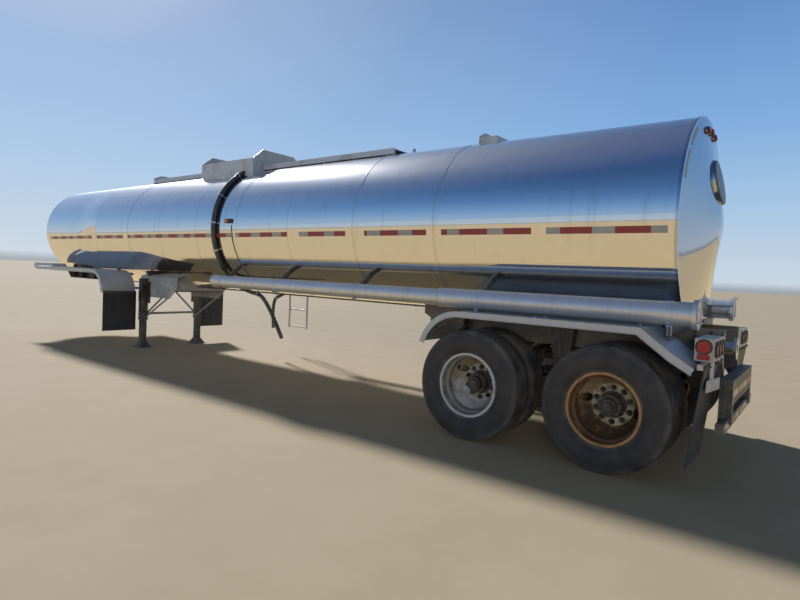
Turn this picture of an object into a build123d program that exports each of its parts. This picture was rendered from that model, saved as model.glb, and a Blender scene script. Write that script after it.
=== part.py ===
from build123d import *
import os
from math import asin, atan2, cos, degrees, hypot, pi, radians, sin, sqrt, tan

# Two-axle tank semi-trailer, parked on its landing legs and tyres. Millimetres.
# +X is forward, +Y is left, +Z is up. The origin is on the ground, midway along the overall length.
# A station is a distance forward of the rear axle; at() turns it into an X coordinate.

os.makedirs("parts", exist_ok=True)

# Overall layout
overall_length = 12925.0
rear_overhang = 815.0
axle_spacing = 1245.0
seat_gap = 0.3
rear_axle_x = rear_overhang - overall_length / 2
nose_station = overall_length - rear_overhang


def at(station):
    """X coordinate of a station."""
    return rear_axle_x + station


# Tank jacket and heads
barrel_radius = 936.0
barrel_belly = 1146.0
barrel_centre_z = barrel_belly + barrel_radius
barrel_rear = -384.0
taper_start = nose_station - 2210.0
front_taper = 38.0
front_head_depth = 250.0
front_radius = barrel_radius - front_taper
front_ring = nose_station - front_head_depth
front_centre_z = barrel_centre_z + front_taper
barrel_top = barrel_centre_z + barrel_radius
band_height = 3.0
band_width = 45.0
band_stations = (1885.0, 3011.0, 5238.0, nose_station - 3809.0)
rear_rim_height = 5.0
rear_rim_width = 25.0
rear_rim_step = 14.0
cone_angle = 11.1
apex_round = 150.0

# Round cover and lamps on the rear head
port_offset = 368.0
port_radius = 198.0
port_pad_height = 6.0
port_pad_margin = 8.0
port_cover_height = 16.0
port_cover_bevel = 5.0
head_lamp_offset = 818.0
head_lamp_spread = 160.0
head_lamp_housing_radius = 34.0
head_lamp_housing_height = 14.0
head_lamp_lens_radius = 25.0
head_lamp_lens_height = 12.0

# Spill box, manway and what stands in the box
box_rear = 5480.0
box_front = 6800.0
box_half_width = 475.0
box_wall = 6.0
box_side_top = barrel_top + 122.0
box_peak = barrel_top + 270.0
box_peak_half = 300.0
box_lip = 30.0
box_corner_cut = 60.0
manway_station = 6340.0
manway_bore = 254.0
manway_wall = 8.0
manway_top = barrel_top + 112.0
manway_flange_radius = 300.0
manway_flange_height = 16.0
gasket_height = 8.0
lid_gap = 0.5
lid_rim_height = 12.0
lid_dome_height = 42.0
lid_hinge_reach = 350.0
hinge_pin_radius = 10.0
hinge_clearance = 0.5
hinge_side_gap = 5.5
hinge_arm_half_width = 44.0
hinge_ear_width = 14.0
hinge_boss_radius = 17.0

# Walkways and the small vent housing
walk_half_width = 280.0
walk_top = barrel_top + 44.0
walk_rail_height = 72.0
walk_rail_wall = 5.0
walk_deck_drop = 14.0
walk_deck = 4.0
walk_rear_end = 2960.0
walk_front_end = nose_station - 3460.0
walk_peak = walk_top + 88.0
walk_end_rise = 30.0
walk_gap = 6.0
vent_rear = 1605.0
vent_length = 205.0
vent_half_width = 200.0
vent_top = barrel_top + 54.0
vent_peak = barrel_top + 124.0
vent_margin = 20.0
vent_shoulder = 10.0

# Side ladder
ladder_stand_off = 214.0
ladder_side = barrel_radius + ladder_stand_off
ladder_rear = 5960.0
ladder_pitch_width = 460.0
ladder_bottom = 470.0
ladder_bend_z = barrel_centre_z + 168.0
ladder_shoulder_turn = 45.0
ladder_tube = 16.0
rung_radius = 12.0
rung_first = 500.0
rung_pitch = 303.0

# Hose tubes along both sides
tube_side = barrel_radius - 6.0
tube_z = 1305.0
tube_front = 5665.0
tube_joint = 1754.0
tube_rear = -560.0
tube_front_radius = 84.0
tube_rear_radius = 95.0
tube_wall = 3.0
door_radius = 116.0
door_thickness = 34.0
door_gap = 1.0
tube_hinge_half = 42.0
strap_width = 32.0
strap_height = 4.0
rear_strap = -395.0
front_straps = (1300.0, 2900.0, 4300.0, 5450.0)
arm_depth = 60.0

# Tandem fenders
fender_inner = 600.0
fender_outer = 1200.0
fender_sheet = 4.0
fender_lip = 52.0
fender_top = 1192.0
fender_flat_front = 1373.0
fender_tip = (1800.0, 871.0)
fender_knee = (-248.0, 1192.0)
fender_drop = (-481.0, 1020.0)
fender_tail = (-628.0, 930.0)
fender_arm_height = 55.0
fender_arm_width = 45.0
fender_arm_stations = (1310.0, 622.5, -180.0)

# Front decks, quarter fenders and the coupler
deck_z = 1370.0
deck_tip = (nose_station - 510.0, 1430.0)
deck_bend = nose_station - 590.0
deck_inner = 620.0
quarter_start = nose_station - 3120.0
quarter_end = (nose_station - 3527.0, 984.0)
deck_lip = 60.0
coupler_bottom = 1150.0
coupler_plate = 16.0
coupler_half_width = 600.0
coupler_rear = nose_station - 1820.0
coupler_front = nose_station - 740.0
coupler_beam_side = 500.0
coupler_beam_width = 60.0
coupler_beam_rear = nose_station - 2960.0
kingpin_station = nose_station - 1210.0
kingpin_neck = 25.4
kingpin_collar = 35.7
kingpin_shoulder_height = 19.0
kingpin_neck_height = 35.5
kingpin_collar_height = 29.5

# Landing gear
leg_station = nose_station - 3680.0
leg_side = 545.0
leg_outer = 114.0
leg_inner = 95.0
leg_split = 500.0
leg_top = 1240.0
wing_plate = 10.0
wing_width = 280.0
wing_height = 390.0
wing_drop = 50.0
shoe_width = 250.0
shoe_plate = 8.0
shoe_top = 100.0
shoe_neck = 112.0
side_plate = 10.0
cross_tube_z = 608.0

# Wheels, tyres and axles
tyre_radius = 516.0
tyre_half_width = 139.5
tread_half_width = 106.0
bead_seat_radius = 286.2
rim_flange_radius = 298.5
rim_inside_radius = 252.0
rim_half_width = 99.0
rim_sheet = 11.0
dual_centre = 908.0
dual_offset = 171.0
mount_disc_radius = 175.0
wheel_bore = 113.0
fit_gap = 0.3
hub_pilot_radius = 110.0
hub_face_radius = 95.0
hub_reach = 105.0
hub_cap_radius = 68.0
hub_cap_reach = 140.0
oil_cap_radius = 40.0
oil_cap_reach = 165.0
hub_flange_radius = 165.0
hub_flange = 18.0
drum_radius = 215.0
drum_wall = 14.0
drum_width = 205.0
drum_shoulder_depth = 82.0
spindle_radius = 45.0
hand_hole_radius = 38.0
hand_hole_circle = 207.0
axle_radius = 63.5
axle_z = tyre_radius

# Subframe, suspension and rear end
rail_web_side = 420.0
rail_web = 8.0
rail_flange = 80.0
rail_bottom = 900.0
rail_top = 1170.0
rail_rear = -705.0
rail_front = 2300.0
spring_side = 470.0
spring_half_width = 37.5
guard_beam_top = 800.0
guard_beam_height = 200.0
guard_beam_depth = 95.0
guard_beam_half = 608.0
guard_bar_z = 450.0
guard_bar_height = 90.0
guard_bar_depth = 60.0
guard_bar_half = 860.0
guard_bar_step = 15.0
guard_post_width = 80.0
guard_gusset = 12.0
guard_gusset_reach = 170.0
outlet_z = 998.0
outlet_pipe_radius = 50.0
outlet_bore = 39.0
outlet_flange_radius = 95.25
outlet_flange = 24.0
outlet_bolt_circle = 152.4
outlet_bolt_radius = 9.525
outlet_face = -755.0
outlet_drop_station = 300.0
light_box_inner = 530.0
light_box_outer = 980.0
light_box_rear = -717.0
light_box_front = -587.0
light_box_bottom = 964.0
light_box_top = 1136.0

BARREL_AXIS = Axis((0, 0, barrel_centre_z), (1, 0, 0))


def barrel_under(side, radius=barrel_radius, centre=barrel_centre_z):
    """Height of the jacket's underside at a distance from the centreline."""
    return centre - sqrt(radius**2 - side**2)


def barrel_over(side):
    """Height of the jacket's upper side at a distance from the centreline."""
    return barrel_centre_z + sqrt(barrel_radius**2 - side**2)


# The jacket grown by the seat gap: what rests on it is cut to this curve
with BuildPart() as barrel_clear:
    with BuildSketch(Plane.YZ.offset(at(barrel_rear))):
        with Locations((0, barrel_centre_z)):
            Circle(barrel_radius + seat_gap)
    extrude(amount=taper_start - barrel_rear)
    with BuildSketch(Plane.YZ.offset(at(taper_start))):
        with Locations((0, barrel_centre_z)):
            Circle(barrel_radius + seat_gap)
    with BuildSketch(Plane.YZ.offset(at(front_ring))):
        with Locations((0, front_centre_z)):
            Circle(front_radius + seat_gap)
    loft(ruled=True)
    for station in band_stations:
        with BuildSketch(Plane.YZ.offset(at(station) - band_width / 2 - seat_gap)):
            with Locations((0, barrel_centre_z)):
                Circle(barrel_radius + band_height + seat_gap)
        extrude(amount=band_width + 2 * seat_gap)
    with BuildSketch(Plane.YZ.offset(at(barrel_rear) - rear_rim_width - seat_gap)):
        with Locations((0, barrel_centre_z)):
            Circle(barrel_radius + rear_rim_height + seat_gap)
    extrude(amount=rear_rim_width + 2 * seat_gap)

# Jacket: a straight barrel with ring bands, then a stretch that tapers from below
with BuildPart() as tank_jacket:
    with BuildSketch(Plane.YZ.offset(at(barrel_rear))):
        with Locations((0, barrel_centre_z)):
            Circle(barrel_radius)
    extrude(amount=taper_start - barrel_rear)
    for station in band_stations:
        with BuildSketch(Plane.YZ.offset(at(station) - band_width / 2)):
            with Locations((0, barrel_centre_z)):
                Circle(barrel_radius + band_height)
        extrude(amount=band_width)
    with BuildSketch(Plane.YZ.offset(at(taper_start))):
        with Locations((0, barrel_centre_z)):
            Circle(barrel_radius)
    with BuildSketch(Plane.YZ.offset(at(front_ring))):
        with Locations((0, front_centre_z)):
            Circle(front_radius)
    loft(ruled=True)
tank_jacket.part.label = "tank_jacket"
export_step(tank_jacket.part, "parts/tank_jacket.step")

# Front head: a shallow dome with a rounded knuckle
dome_radius = (front_radius**2 + front_head_depth**2) / (2 * front_head_depth)
with BuildPart() as front_head:
    with BuildSketch(Plane((at(front_ring), 0, front_centre_z), x_dir=(1, 0, 0), z_dir=(0, -1, 0))):
        with BuildLine():
            Line((0, 0), (front_head_depth, 0))
            JernArc(
                start=(front_head_depth, 0),
                tangent=(0, 1),
                radius=dome_radius,
                arc_size=degrees(asin(front_radius / dome_radius)),
            )
            Line((0, front_radius), (0, 0))
        make_face()
    revolve(axis=Axis((at(front_ring), 0, front_centre_z), (1, 0, 0)))
front_head.part.label = "front_head"
export_step(front_head.part, "parts/front_head.step")

# Rear head: a rim band and a shallow cone with a rounded apex, with flat pads for the cover and lamps
cone_slope = tan(radians(cone_angle))
cone_edge_radius = barrel_radius - rear_rim_step
cone_edge_x = at(barrel_rear) - rear_rim_width
apex_start_x = cone_edge_x - (cone_edge_radius - apex_round) * cone_slope
apex_curve = apex_round / sin(radians(cone_angle))
apex_x = apex_start_x - apex_curve * (1 - cos(radians(cone_angle)))


def cone_plane(offset, turn=0.0, lift=0.0):
    """Plane that touches the rear cone, offset from the axis and turned sideways about it."""
    tilt = radians(cone_angle)
    roll = radians(turn)
    x = cone_edge_x - (cone_edge_radius - offset) * cone_slope
    normal = (-cos(tilt), sin(tilt) * sin(roll), sin(tilt) * cos(roll))
    origin = (x, offset * sin(roll), barrel_centre_z + offset * cos(roll))
    return Plane(origin, x_dir=(0, -cos(roll), sin(roll)), z_dir=normal).offset(lift)


head_lamp_turns = [degrees(asin(side / head_lamp_offset)) for side in (-head_lamp_spread, 0, head_lamp_spread)]
pad_root = 22.0
head_lamp_pad = 4.0
with BuildPart() as rear_head:
    with BuildSketch(Plane((0, 0, barrel_centre_z), x_dir=(1, 0, 0), z_dir=(0, -1, 0))):
        with BuildLine():
            Polyline(
                (at(barrel_rear), 0),
                (at(barrel_rear), barrel_radius + rear_rim_height),
                (cone_edge_x, barrel_radius + rear_rim_height),
                (cone_edge_x, cone_edge_radius),
                (apex_start_x, apex_round),
            )
            ThreePointArc(
                (apex_start_x, apex_round),
                (
                    apex_x + apex_curve * (1 - cos(radians(cone_angle / 2))),
                    apex_curve * sin(radians(cone_angle / 2)),
                ),
                (apex_x, 0),
            )
            Line((apex_x, 0), (at(barrel_rear), 0))
        make_face()
    revolve(axis=BARREL_AXIS)
    with BuildSketch(cone_plane(port_offset, lift=-pad_root)):
        Circle(port_radius + port_pad_margin)
    extrude(amount=pad_root + port_pad_height)
    for turn in head_lamp_turns:
        with BuildSketch(cone_plane(head_lamp_offset, turn, -pad_root)):
            Circle(head_lamp_housing_radius + head_lamp_pad)
        extrude(amount=pad_root + head_lamp_pad)
rear_head.part.label = "rear_head"
export_step(rear_head.part, "parts/rear_head.step")

with BuildPart() as port_cover:
    with BuildSketch(cone_plane(port_offset, lift=port_pad_height)):
        Circle(port_radius)
    extrude(amount=port_cover_height)
    chamfer(port_cover.faces().sort_by(Axis.X)[0].edges(), port_cover_bevel)
port_cover.part.label = "port_cover"
export_step(port_cover.part, "parts/port_cover.step")

# Spill box: side walls with a turned-in lip, and peaked end plates, cut to the jacket's curve
with BuildPart() as spill_box:
    for end in (box_rear, box_front - box_wall):
        with BuildSketch(Plane.YZ.offset(at(end))):
            with BuildLine():
                Polyline(
                    (-box_half_width, barrel_centre_z),
                    (-box_half_width, box_side_top),
                    (-box_peak_half, box_peak),
                    (box_peak_half, box_peak),
                    (box_half_width, box_side_top),
                    (box_half_width, barrel_centre_z),
                    close=True,
                )
            make_face()
        extrude(amount=box_wall)
    with BuildSketch(Plane.XY.offset(barrel_centre_z)):
        with Locations((at((box_rear + box_front) / 2), 0)):
            Rectangle(box_front - box_rear, 2 * box_half_width)
            Rectangle(
                box_front - box_rear - 2 * box_wall, 2 * (box_half_width - box_wall), mode=Mode.SUBTRACT
            )
    extrude(amount=box_side_top - barrel_centre_z)
    with BuildSketch(Plane.XY.offset(box_side_top - box_wall)):
        with Locations((at((box_rear + box_front) / 2), 0)):
            Rectangle(box_front - box_rear, 2 * box_half_width)
            Rectangle(
                box_front - box_rear - 2 * box_wall, 2 * (box_half_width - box_lip), mode=Mode.SUBTRACT
            )
    extrude(amount=box_wall)
    corner_z = barrel_over(box_half_width)
    with BuildSketch(Plane.XZ.offset(-box_half_width)):
        with BuildLine():
            Polyline(
                (at(box_front) - box_corner_cut, corner_z - box_corner_cut),
                (at(box_front) - box_corner_cut, corner_z),
                (at(box_front), corner_z + box_corner_cut),
                (at(box_front), corner_z - box_corner_cut),
                close=True,
            )
        make_face()
    extrude(amount=2 * box_half_width, mode=Mode.SUBTRACT)
    add(barrel_clear.part, mode=Mode.SUBTRACT)
spill_box.part.label = "spill_box"
export_step(spill_box.part, "parts/spill_box.step")

# Manway: a flanged neck with the ears and pin of its lid hinge
manway_x = at(manway_station)
hinge_x = manway_x - lid_hinge_reach
lid_bottom = manway_top + gasket_height + lid_gap
hinge_z = lid_bottom + hinge_boss_radius
ear_inner = hinge_arm_half_width + hinge_side_gap
neck_seat_z = barrel_over(manway_bore + manway_wall)
with BuildPart() as manway_neck:
    with BuildSketch(Plane.XY.offset(barrel_centre_z)):
        with Locations((manway_x, 0)):
            Circle(manway_bore + manway_wall)
    extrude(amount=manway_top - barrel_centre_z)
    with BuildSketch(Plane.XY.offset(manway_top - manway_flange_height)):
        with Locations((manway_x, 0)):
            Circle(manway_flange_radius)
        with Locations(((manway_x + hinge_x) / 2 - manway_bore / 2, 0)):
            Rectangle(
                lid_hinge_reach + 2 * hinge_boss_radius - manway_bore, 2 * (ear_inner + hinge_ear_width)
            )
    extrude(amount=manway_flange_height)
    with BuildSketch(Plane.XZ.offset(-(ear_inner + hinge_ear_width))):
        with Locations((hinge_x, hinge_z)):
            Circle(hinge_boss_radius)
        with Locations((hinge_x, (hinge_z + manway_top) / 2)):
            Rectangle(2 * hinge_boss_radius, hinge_z - manway_top)
    extrude(amount=2 * (ear_inner + hinge_ear_width))
    with BuildSketch(Plane.XZ.offset(-ear_inner)):
        with Locations((hinge_x, manway_top + 2 * hinge_boss_radius)):
            Rectangle(4 * hinge_boss_radius, 4 * hinge_boss_radius)
    extrude(amount=2 * ear_inner, mode=Mode.SUBTRACT)
    with BuildSketch(Plane.XZ.offset(-ear_inner - hinge_ear_width / 2)):
        with Locations((hinge_x, hinge_z)):
            Circle(hinge_pin_radius)
    extrude(amount=2 * ear_inner + hinge_ear_width)
    with BuildSketch(Plane.XY.offset(barrel_centre_z)):
        with Locations((manway_x, 0)):
            Circle(manway_bore)
    extrude(amount=manway_top - barrel_centre_z, mode=Mode.SUBTRACT)
    add(barrel_clear.part, mode=Mode.SUBTRACT)
manway_neck.part.label = "manway_neck"
export_step(manway_neck.part, "parts/manway_neck.step")

with BuildPart() as manway_gasket:
    with BuildSketch(Plane.XY.offset(manway_top)):
        with Locations((manway_x, 0)):
            Circle(manway_flange_radius - 12)
            Circle(manway_bore + 8, mode=Mode.SUBTRACT)
    extrude(amount=gasket_height)
manway_gasket.part.label = "manway_gasket"
export_step(manway_gasket.part, "parts/manway_gasket.step")

# Manway lid: a domed plate with its hinge arm
lid_dome_curve = (manway_bore**2 + lid_dome_height**2) / (2 * lid_dome_height)
with BuildPart() as manway_lid:
    with BuildSketch(Plane.XY.offset(lid_bottom)):
        with Locations((manway_x, 0)):
            Circle(manway_flange_radius - 4)
    extrude(amount=lid_rim_height)
    with BuildSketch(
        Plane((manway_x, 0, lid_bottom + lid_rim_height), x_dir=(1, 0, 0), z_dir=(0, -1, 0))
    ):
        with BuildLine():
            Line((0, 0), (0, lid_dome_height))
            JernArc(
                start=(0, lid_dome_height),
                tangent=(1, 0),
                radius=lid_dome_curve,
                arc_size=-degrees(asin(manway_bore / lid_dome_curve)),
            )
            Line((manway_bore, 0), (0, 0))
        make_face()
    revolve(axis=Axis((manway_x, 0, 0), (0, 0, 1)))
    with BuildSketch(Plane.XZ.offset(-hinge_arm_half_width)):
        with Locations((hinge_x, hinge_z)):
            Circle(hinge_boss_radius)
        with Locations(((hinge_x + manway_x - manway_bore) / 2, hinge_z)):
            Rectangle(lid_hinge_reach - manway_bore, 2 * hinge_boss_radius)
    extrude(amount=2 * hinge_arm_half_width)
    with BuildSketch(Plane.XZ.offset(-hinge_arm_half_width)):
        with Locations((hinge_x, hinge_z)):
            Circle(hinge_pin_radius + hinge_clearance)
    extrude(amount=2 * hinge_arm_half_width, mode=Mode.SUBTRACT)
manway_lid.part.label = "manway_lid"
export_step(manway_lid.part, "parts/manway_lid.step")

# Relief vents and pipe stub in the spill box, and a small tee fitting behind the walkway
vent_table = (
    # station, side, pipe radius, body radius, cap radius, cap rise
    (5700.0, 210.0, 38.0, 58.0, 82.0, 187.0),
    (5700.0, -210.0, 38.0, 58.0, 82.0, 187.0),
    (5800.0, 0.0, 30.0, 44.0, 52.0, 132.0),
    (2875.0, 0.0, 14.0, 20.0, 24.0, 77.0),
)
vent_cap_height = 26.0
with BuildPart() as top_valves:
    for station, side, pipe, body, cap, cap_rise in vent_table:
        cap_top = barrel_top + cap_rise
        with BuildSketch(Plane.XY.offset(barrel_centre_z)):
            with Locations((at(station), side)):
                Circle(pipe)
        extrude(amount=cap_top - vent_cap_height - barrel_centre_z)
        body_height = (cap_top - barrel_over(side)) * 0.55
        with BuildSketch(Plane.XY.offset(cap_top - vent_cap_height - body_height)):
            with Locations((at(station), side)):
                Circle(body)
        extrude(amount=body_height)
        with BuildSketch(Plane.XY.offset(cap_top - vent_cap_height)):
            with Locations((at(station), side)):
                Circle(cap)
        extrude(amount=vent_cap_height, taper=15)
    add(barrel_clear.part, mode=Mode.SUBTRACT)
top_valves.part.label = "top_valves"
export_step(top_valves.part, "parts/top_valves.step")

# Walkways: a deck between toe rails, on feet cut to the jacket, the front one with a peaked end plate
walk_foot_length = 44.0
walk_foot_inset = 160.0
walk_foot_pitch = 560.0
walk_table = (
    # rear station, front station
    (walk_rear_end, box_rear - walk_gap),
    (box_front + walk_gap, walk_front_end),
)
with BuildPart() as walkways:
    for rear, front in walk_table:
        length = front - rear
        span = length - 2 * walk_foot_inset
        feet = int(span / walk_foot_pitch) + 2
        with BuildSketch(Plane.YZ.offset(at(rear))):
            with Locations((0, walk_top - walk_deck_drop - walk_deck / 2)):
                Rectangle(2 * walk_half_width, walk_deck)
            with Locations(
                (walk_half_width - walk_rail_wall / 2, walk_top - walk_rail_height / 2),
                (walk_rail_wall / 2 - walk_half_width, walk_top - walk_rail_height / 2),
            ):
                Rectangle(walk_rail_wall, walk_rail_height)
        extrude(amount=length)
        for index in range(feet):
            station = rear + walk_foot_inset + index * span / (feet - 1)
            with BuildSketch(Plane.YZ.offset(at(station) - walk_foot_length / 2)):
                with Locations((0, (walk_top - walk_deck_drop + barrel_centre_z) / 2)):
                    Rectangle(2 * walk_half_width, walk_top - walk_deck_drop - barrel_centre_z)
            extrude(amount=walk_rail_wall)
    with BuildSketch(Plane.YZ.offset(at(walk_front_end))):
        with BuildLine():
            Polyline(
                (-walk_half_width, barrel_centre_z),
                (-walk_half_width, walk_top + walk_end_rise),
                (-walk_half_width / 2, walk_peak),
                (walk_half_width / 2, walk_peak),
                (walk_half_width, walk_top + walk_end_rise),
                (walk_half_width, barrel_centre_z),
                close=True,
            )
        make_face()
    extrude(amount=box_wall)
    add(barrel_clear.part, mode=Mode.SUBTRACT)
walkways.part.label = "walkways"
export_step(walkways.part, "parts/walkways.step")

# Small vent housing with its peaked front plate
with BuildPart() as vent_box:
    with BuildSketch(Plane.XY.offset(barrel_centre_z)):
        with Locations((at(vent_rear + vent_length / 2), 0)):
            Rectangle(vent_length, 2 * vent_half_width)
    extrude(amount=vent_top - barrel_centre_z)
    with BuildSketch(Plane.YZ.offset(at(vent_rear + vent_length))):
        with BuildLine():
            Polyline(
                (-vent_half_width - vent_margin, barrel_centre_z),
                (-vent_half_width - vent_margin, vent_top + vent_shoulder),
                (-vent_half_width / 2, vent_peak),
                (vent_half_width / 2, vent_peak),
                (vent_half_width + vent_margin, vent_top + vent_shoulder),
                (vent_half_width + vent_margin, barrel_centre_z),
                close=True,
            )
        make_face()
    extrude(amount=box_wall)
    add(barrel_clear.part, mode=Mode.SUBTRACT)
vent_box.part.label = "vent_box"
export_step(vent_box.part, "parts/vent_box.step")

# Side ladder: two bent tubes with rungs, tied to the jacket and to the spill box wall
ladder_shoulder = barrel_radius + ladder_stand_off - 10.0
ladder_route = (
    # side, height
    (-ladder_side, ladder_bottom),
    (-ladder_side, ladder_bend_z),
    (
        -ladder_shoulder * cos(radians(ladder_shoulder_turn)),
        barrel_centre_z + ladder_shoulder * sin(radians(ladder_shoulder_turn)),
    ),
    (-box_half_width, box_side_top - 2 * ladder_tube),
)
ladder_bends = (160.0, 200.0)
ladder_tie_heights = (1640.0, ladder_bend_z)
upper_rung_shares = (0.26, 0.67)
with BuildPart() as side_ladder:
    for station in (ladder_rear, ladder_rear + ladder_pitch_width):
        with BuildLine():
            FilletPolyline(
                *[(at(station), side, height) for side, height in ladder_route], radius=ladder_bends
            )
        with BuildSketch(Plane.XY.offset(ladder_bottom)):
            with Locations((at(station), -ladder_side)):
                Circle(ladder_tube)
        sweep()
        for height in ladder_tie_heights:
            reach = ladder_side - sqrt(barrel_radius**2 - (height - barrel_centre_z) ** 2)
            with BuildSketch(Plane.XZ.offset(ladder_side)):
                with Locations((at(station), height)):
                    Circle(rung_radius)
            extrude(amount=-reach - rung_radius)
    rung_count = int((ladder_bend_z - rung_first) / rung_pitch) + 1
    rung_places = [(-ladder_side, rung_first + rung_pitch * index) for index in range(rung_count)]
    lower_end, upper_end = Vector(*ladder_route[1]), Vector(*ladder_route[2])
    upper_rungs = [lower_end + (upper_end - lower_end) * share for share in upper_rung_shares]
    rung_places += [(point.X, point.Y) for point in upper_rungs]
    for side, height in rung_places:
        with BuildSketch(Plane.YZ.offset(at(ladder_rear))):
            with Locations((side, height)):
                Circle(rung_radius)
        extrude(amount=ladder_pitch_width)
    with BuildSketch(Plane.XZ.offset(box_half_width)):
        with Locations((at(ladder_rear + ladder_pitch_width / 2), box_side_top)):
            Rectangle(2 * ladder_pitch_width, 8 * ladder_tube)
    extrude(amount=-4 * ladder_tube, mode=Mode.SUBTRACT)
    add(barrel_clear.part, mode=Mode.SUBTRACT)
side_ladder.part.label = "side_ladder"
export_step(side_ladder.part, "parts/side_ladder.step")

# Hose tubes: a slimmer front length let into a wider rear length, closed in front, open behind, with straps
for name, side in (("left", tube_side), ("right", -tube_side)):
    with BuildPart() as hose_tube:
        with BuildSketch(Plane((0, side, tube_z), x_dir=(1, 0, 0), z_dir=(0, -1, 0))):
            with BuildLine():
                Polyline(
                    (at(tube_rear), tube_rear_radius),
                    (at(tube_joint), tube_rear_radius),
                    (at(tube_joint), tube_front_radius),
                    (at(tube_front), tube_front_radius),
                    (at(tube_front), 0),
                    (at(tube_front) - tube_wall, 0),
                    (at(tube_front) - tube_wall, tube_front_radius - tube_wall),
                    (at(tube_joint) - tube_wall, tube_front_radius - tube_wall),
                    (at(tube_joint) - tube_wall, tube_rear_radius - tube_wall),
                    (at(tube_rear), tube_rear_radius - tube_wall),
                    close=True,
                )
            make_face()
            for station in (rear_strap, *front_straps):
                body_radius = tube_rear_radius if station < tube_joint else tube_front_radius
                with Locations((at(station), body_radius + (strap_height - tube_wall) / 2)):
                    Rectangle(strap_width, strap_height + tube_wall)
        revolve(axis=Axis((0, side, tube_z), (1, 0, 0)))
    hose_tube.part.label = f"hose_tube_{name}"
    export_step(hose_tube.part, f"parts/hose_tube_{name}.step")

# Tube doors: a dished cover with a hinge knuckle inboard and a latch tab on top
door_hinge_x = at(tube_rear) - door_gap - door_thickness / 2
door_hinge_offset = door_radius + 16.0
door_pin_radius = 6.0
door_knuckle_radius = 12.0
door_ear = 9.0
door_ear_gap = 3.0
door_knuckle = 2 * (tube_hinge_half - door_ear - door_ear_gap)
for name, turn in (("left", 1), ("right", -1)):
    with BuildPart() as tube_door:
        with BuildSketch(Plane.YZ.offset(at(tube_rear) - door_gap)):
            with Locations((turn * tube_side, tube_z)):
                Circle(door_radius)
        extrude(amount=-door_thickness)
        with BuildSketch(Plane.YZ.offset(at(tube_rear) - door_gap)):
            with Locations((turn * tube_side, tube_z)):
                Circle(tube_rear_radius - tube_wall - 6)
        extrude(amount=-door_thickness / 2, mode=Mode.SUBTRACT)
        with BuildSketch(Plane.XY.offset(tube_z - door_knuckle / 2)):
            with Locations((door_hinge_x, turn * (tube_side - door_hinge_offset))):
                Circle(door_knuckle_radius)
            with Locations((door_hinge_x, turn * (tube_side - door_radius - 2))):
                Rectangle(10, door_hinge_offset - door_radius + 4)
        extrude(amount=door_knuckle)
        with BuildSketch(Plane.XY.offset(tube_z - door_knuckle / 2)):
            with Locations((door_hinge_x, turn * (tube_side - door_hinge_offset))):
                Circle(door_pin_radius + hinge_clearance)
        extrude(amount=door_knuckle, mode=Mode.SUBTRACT)
        with BuildSketch(Plane.YZ.offset(at(tube_rear) - door_gap - door_thickness)):
            with Locations((turn * tube_side, tube_z + door_radius - 5)):
                Rectangle(30, 50)
        extrude(amount=8)
    tube_door.part.label = f"tube_door_{name}"
    export_step(tube_door.part, f"parts/tube_door_{name}.step")

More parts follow.
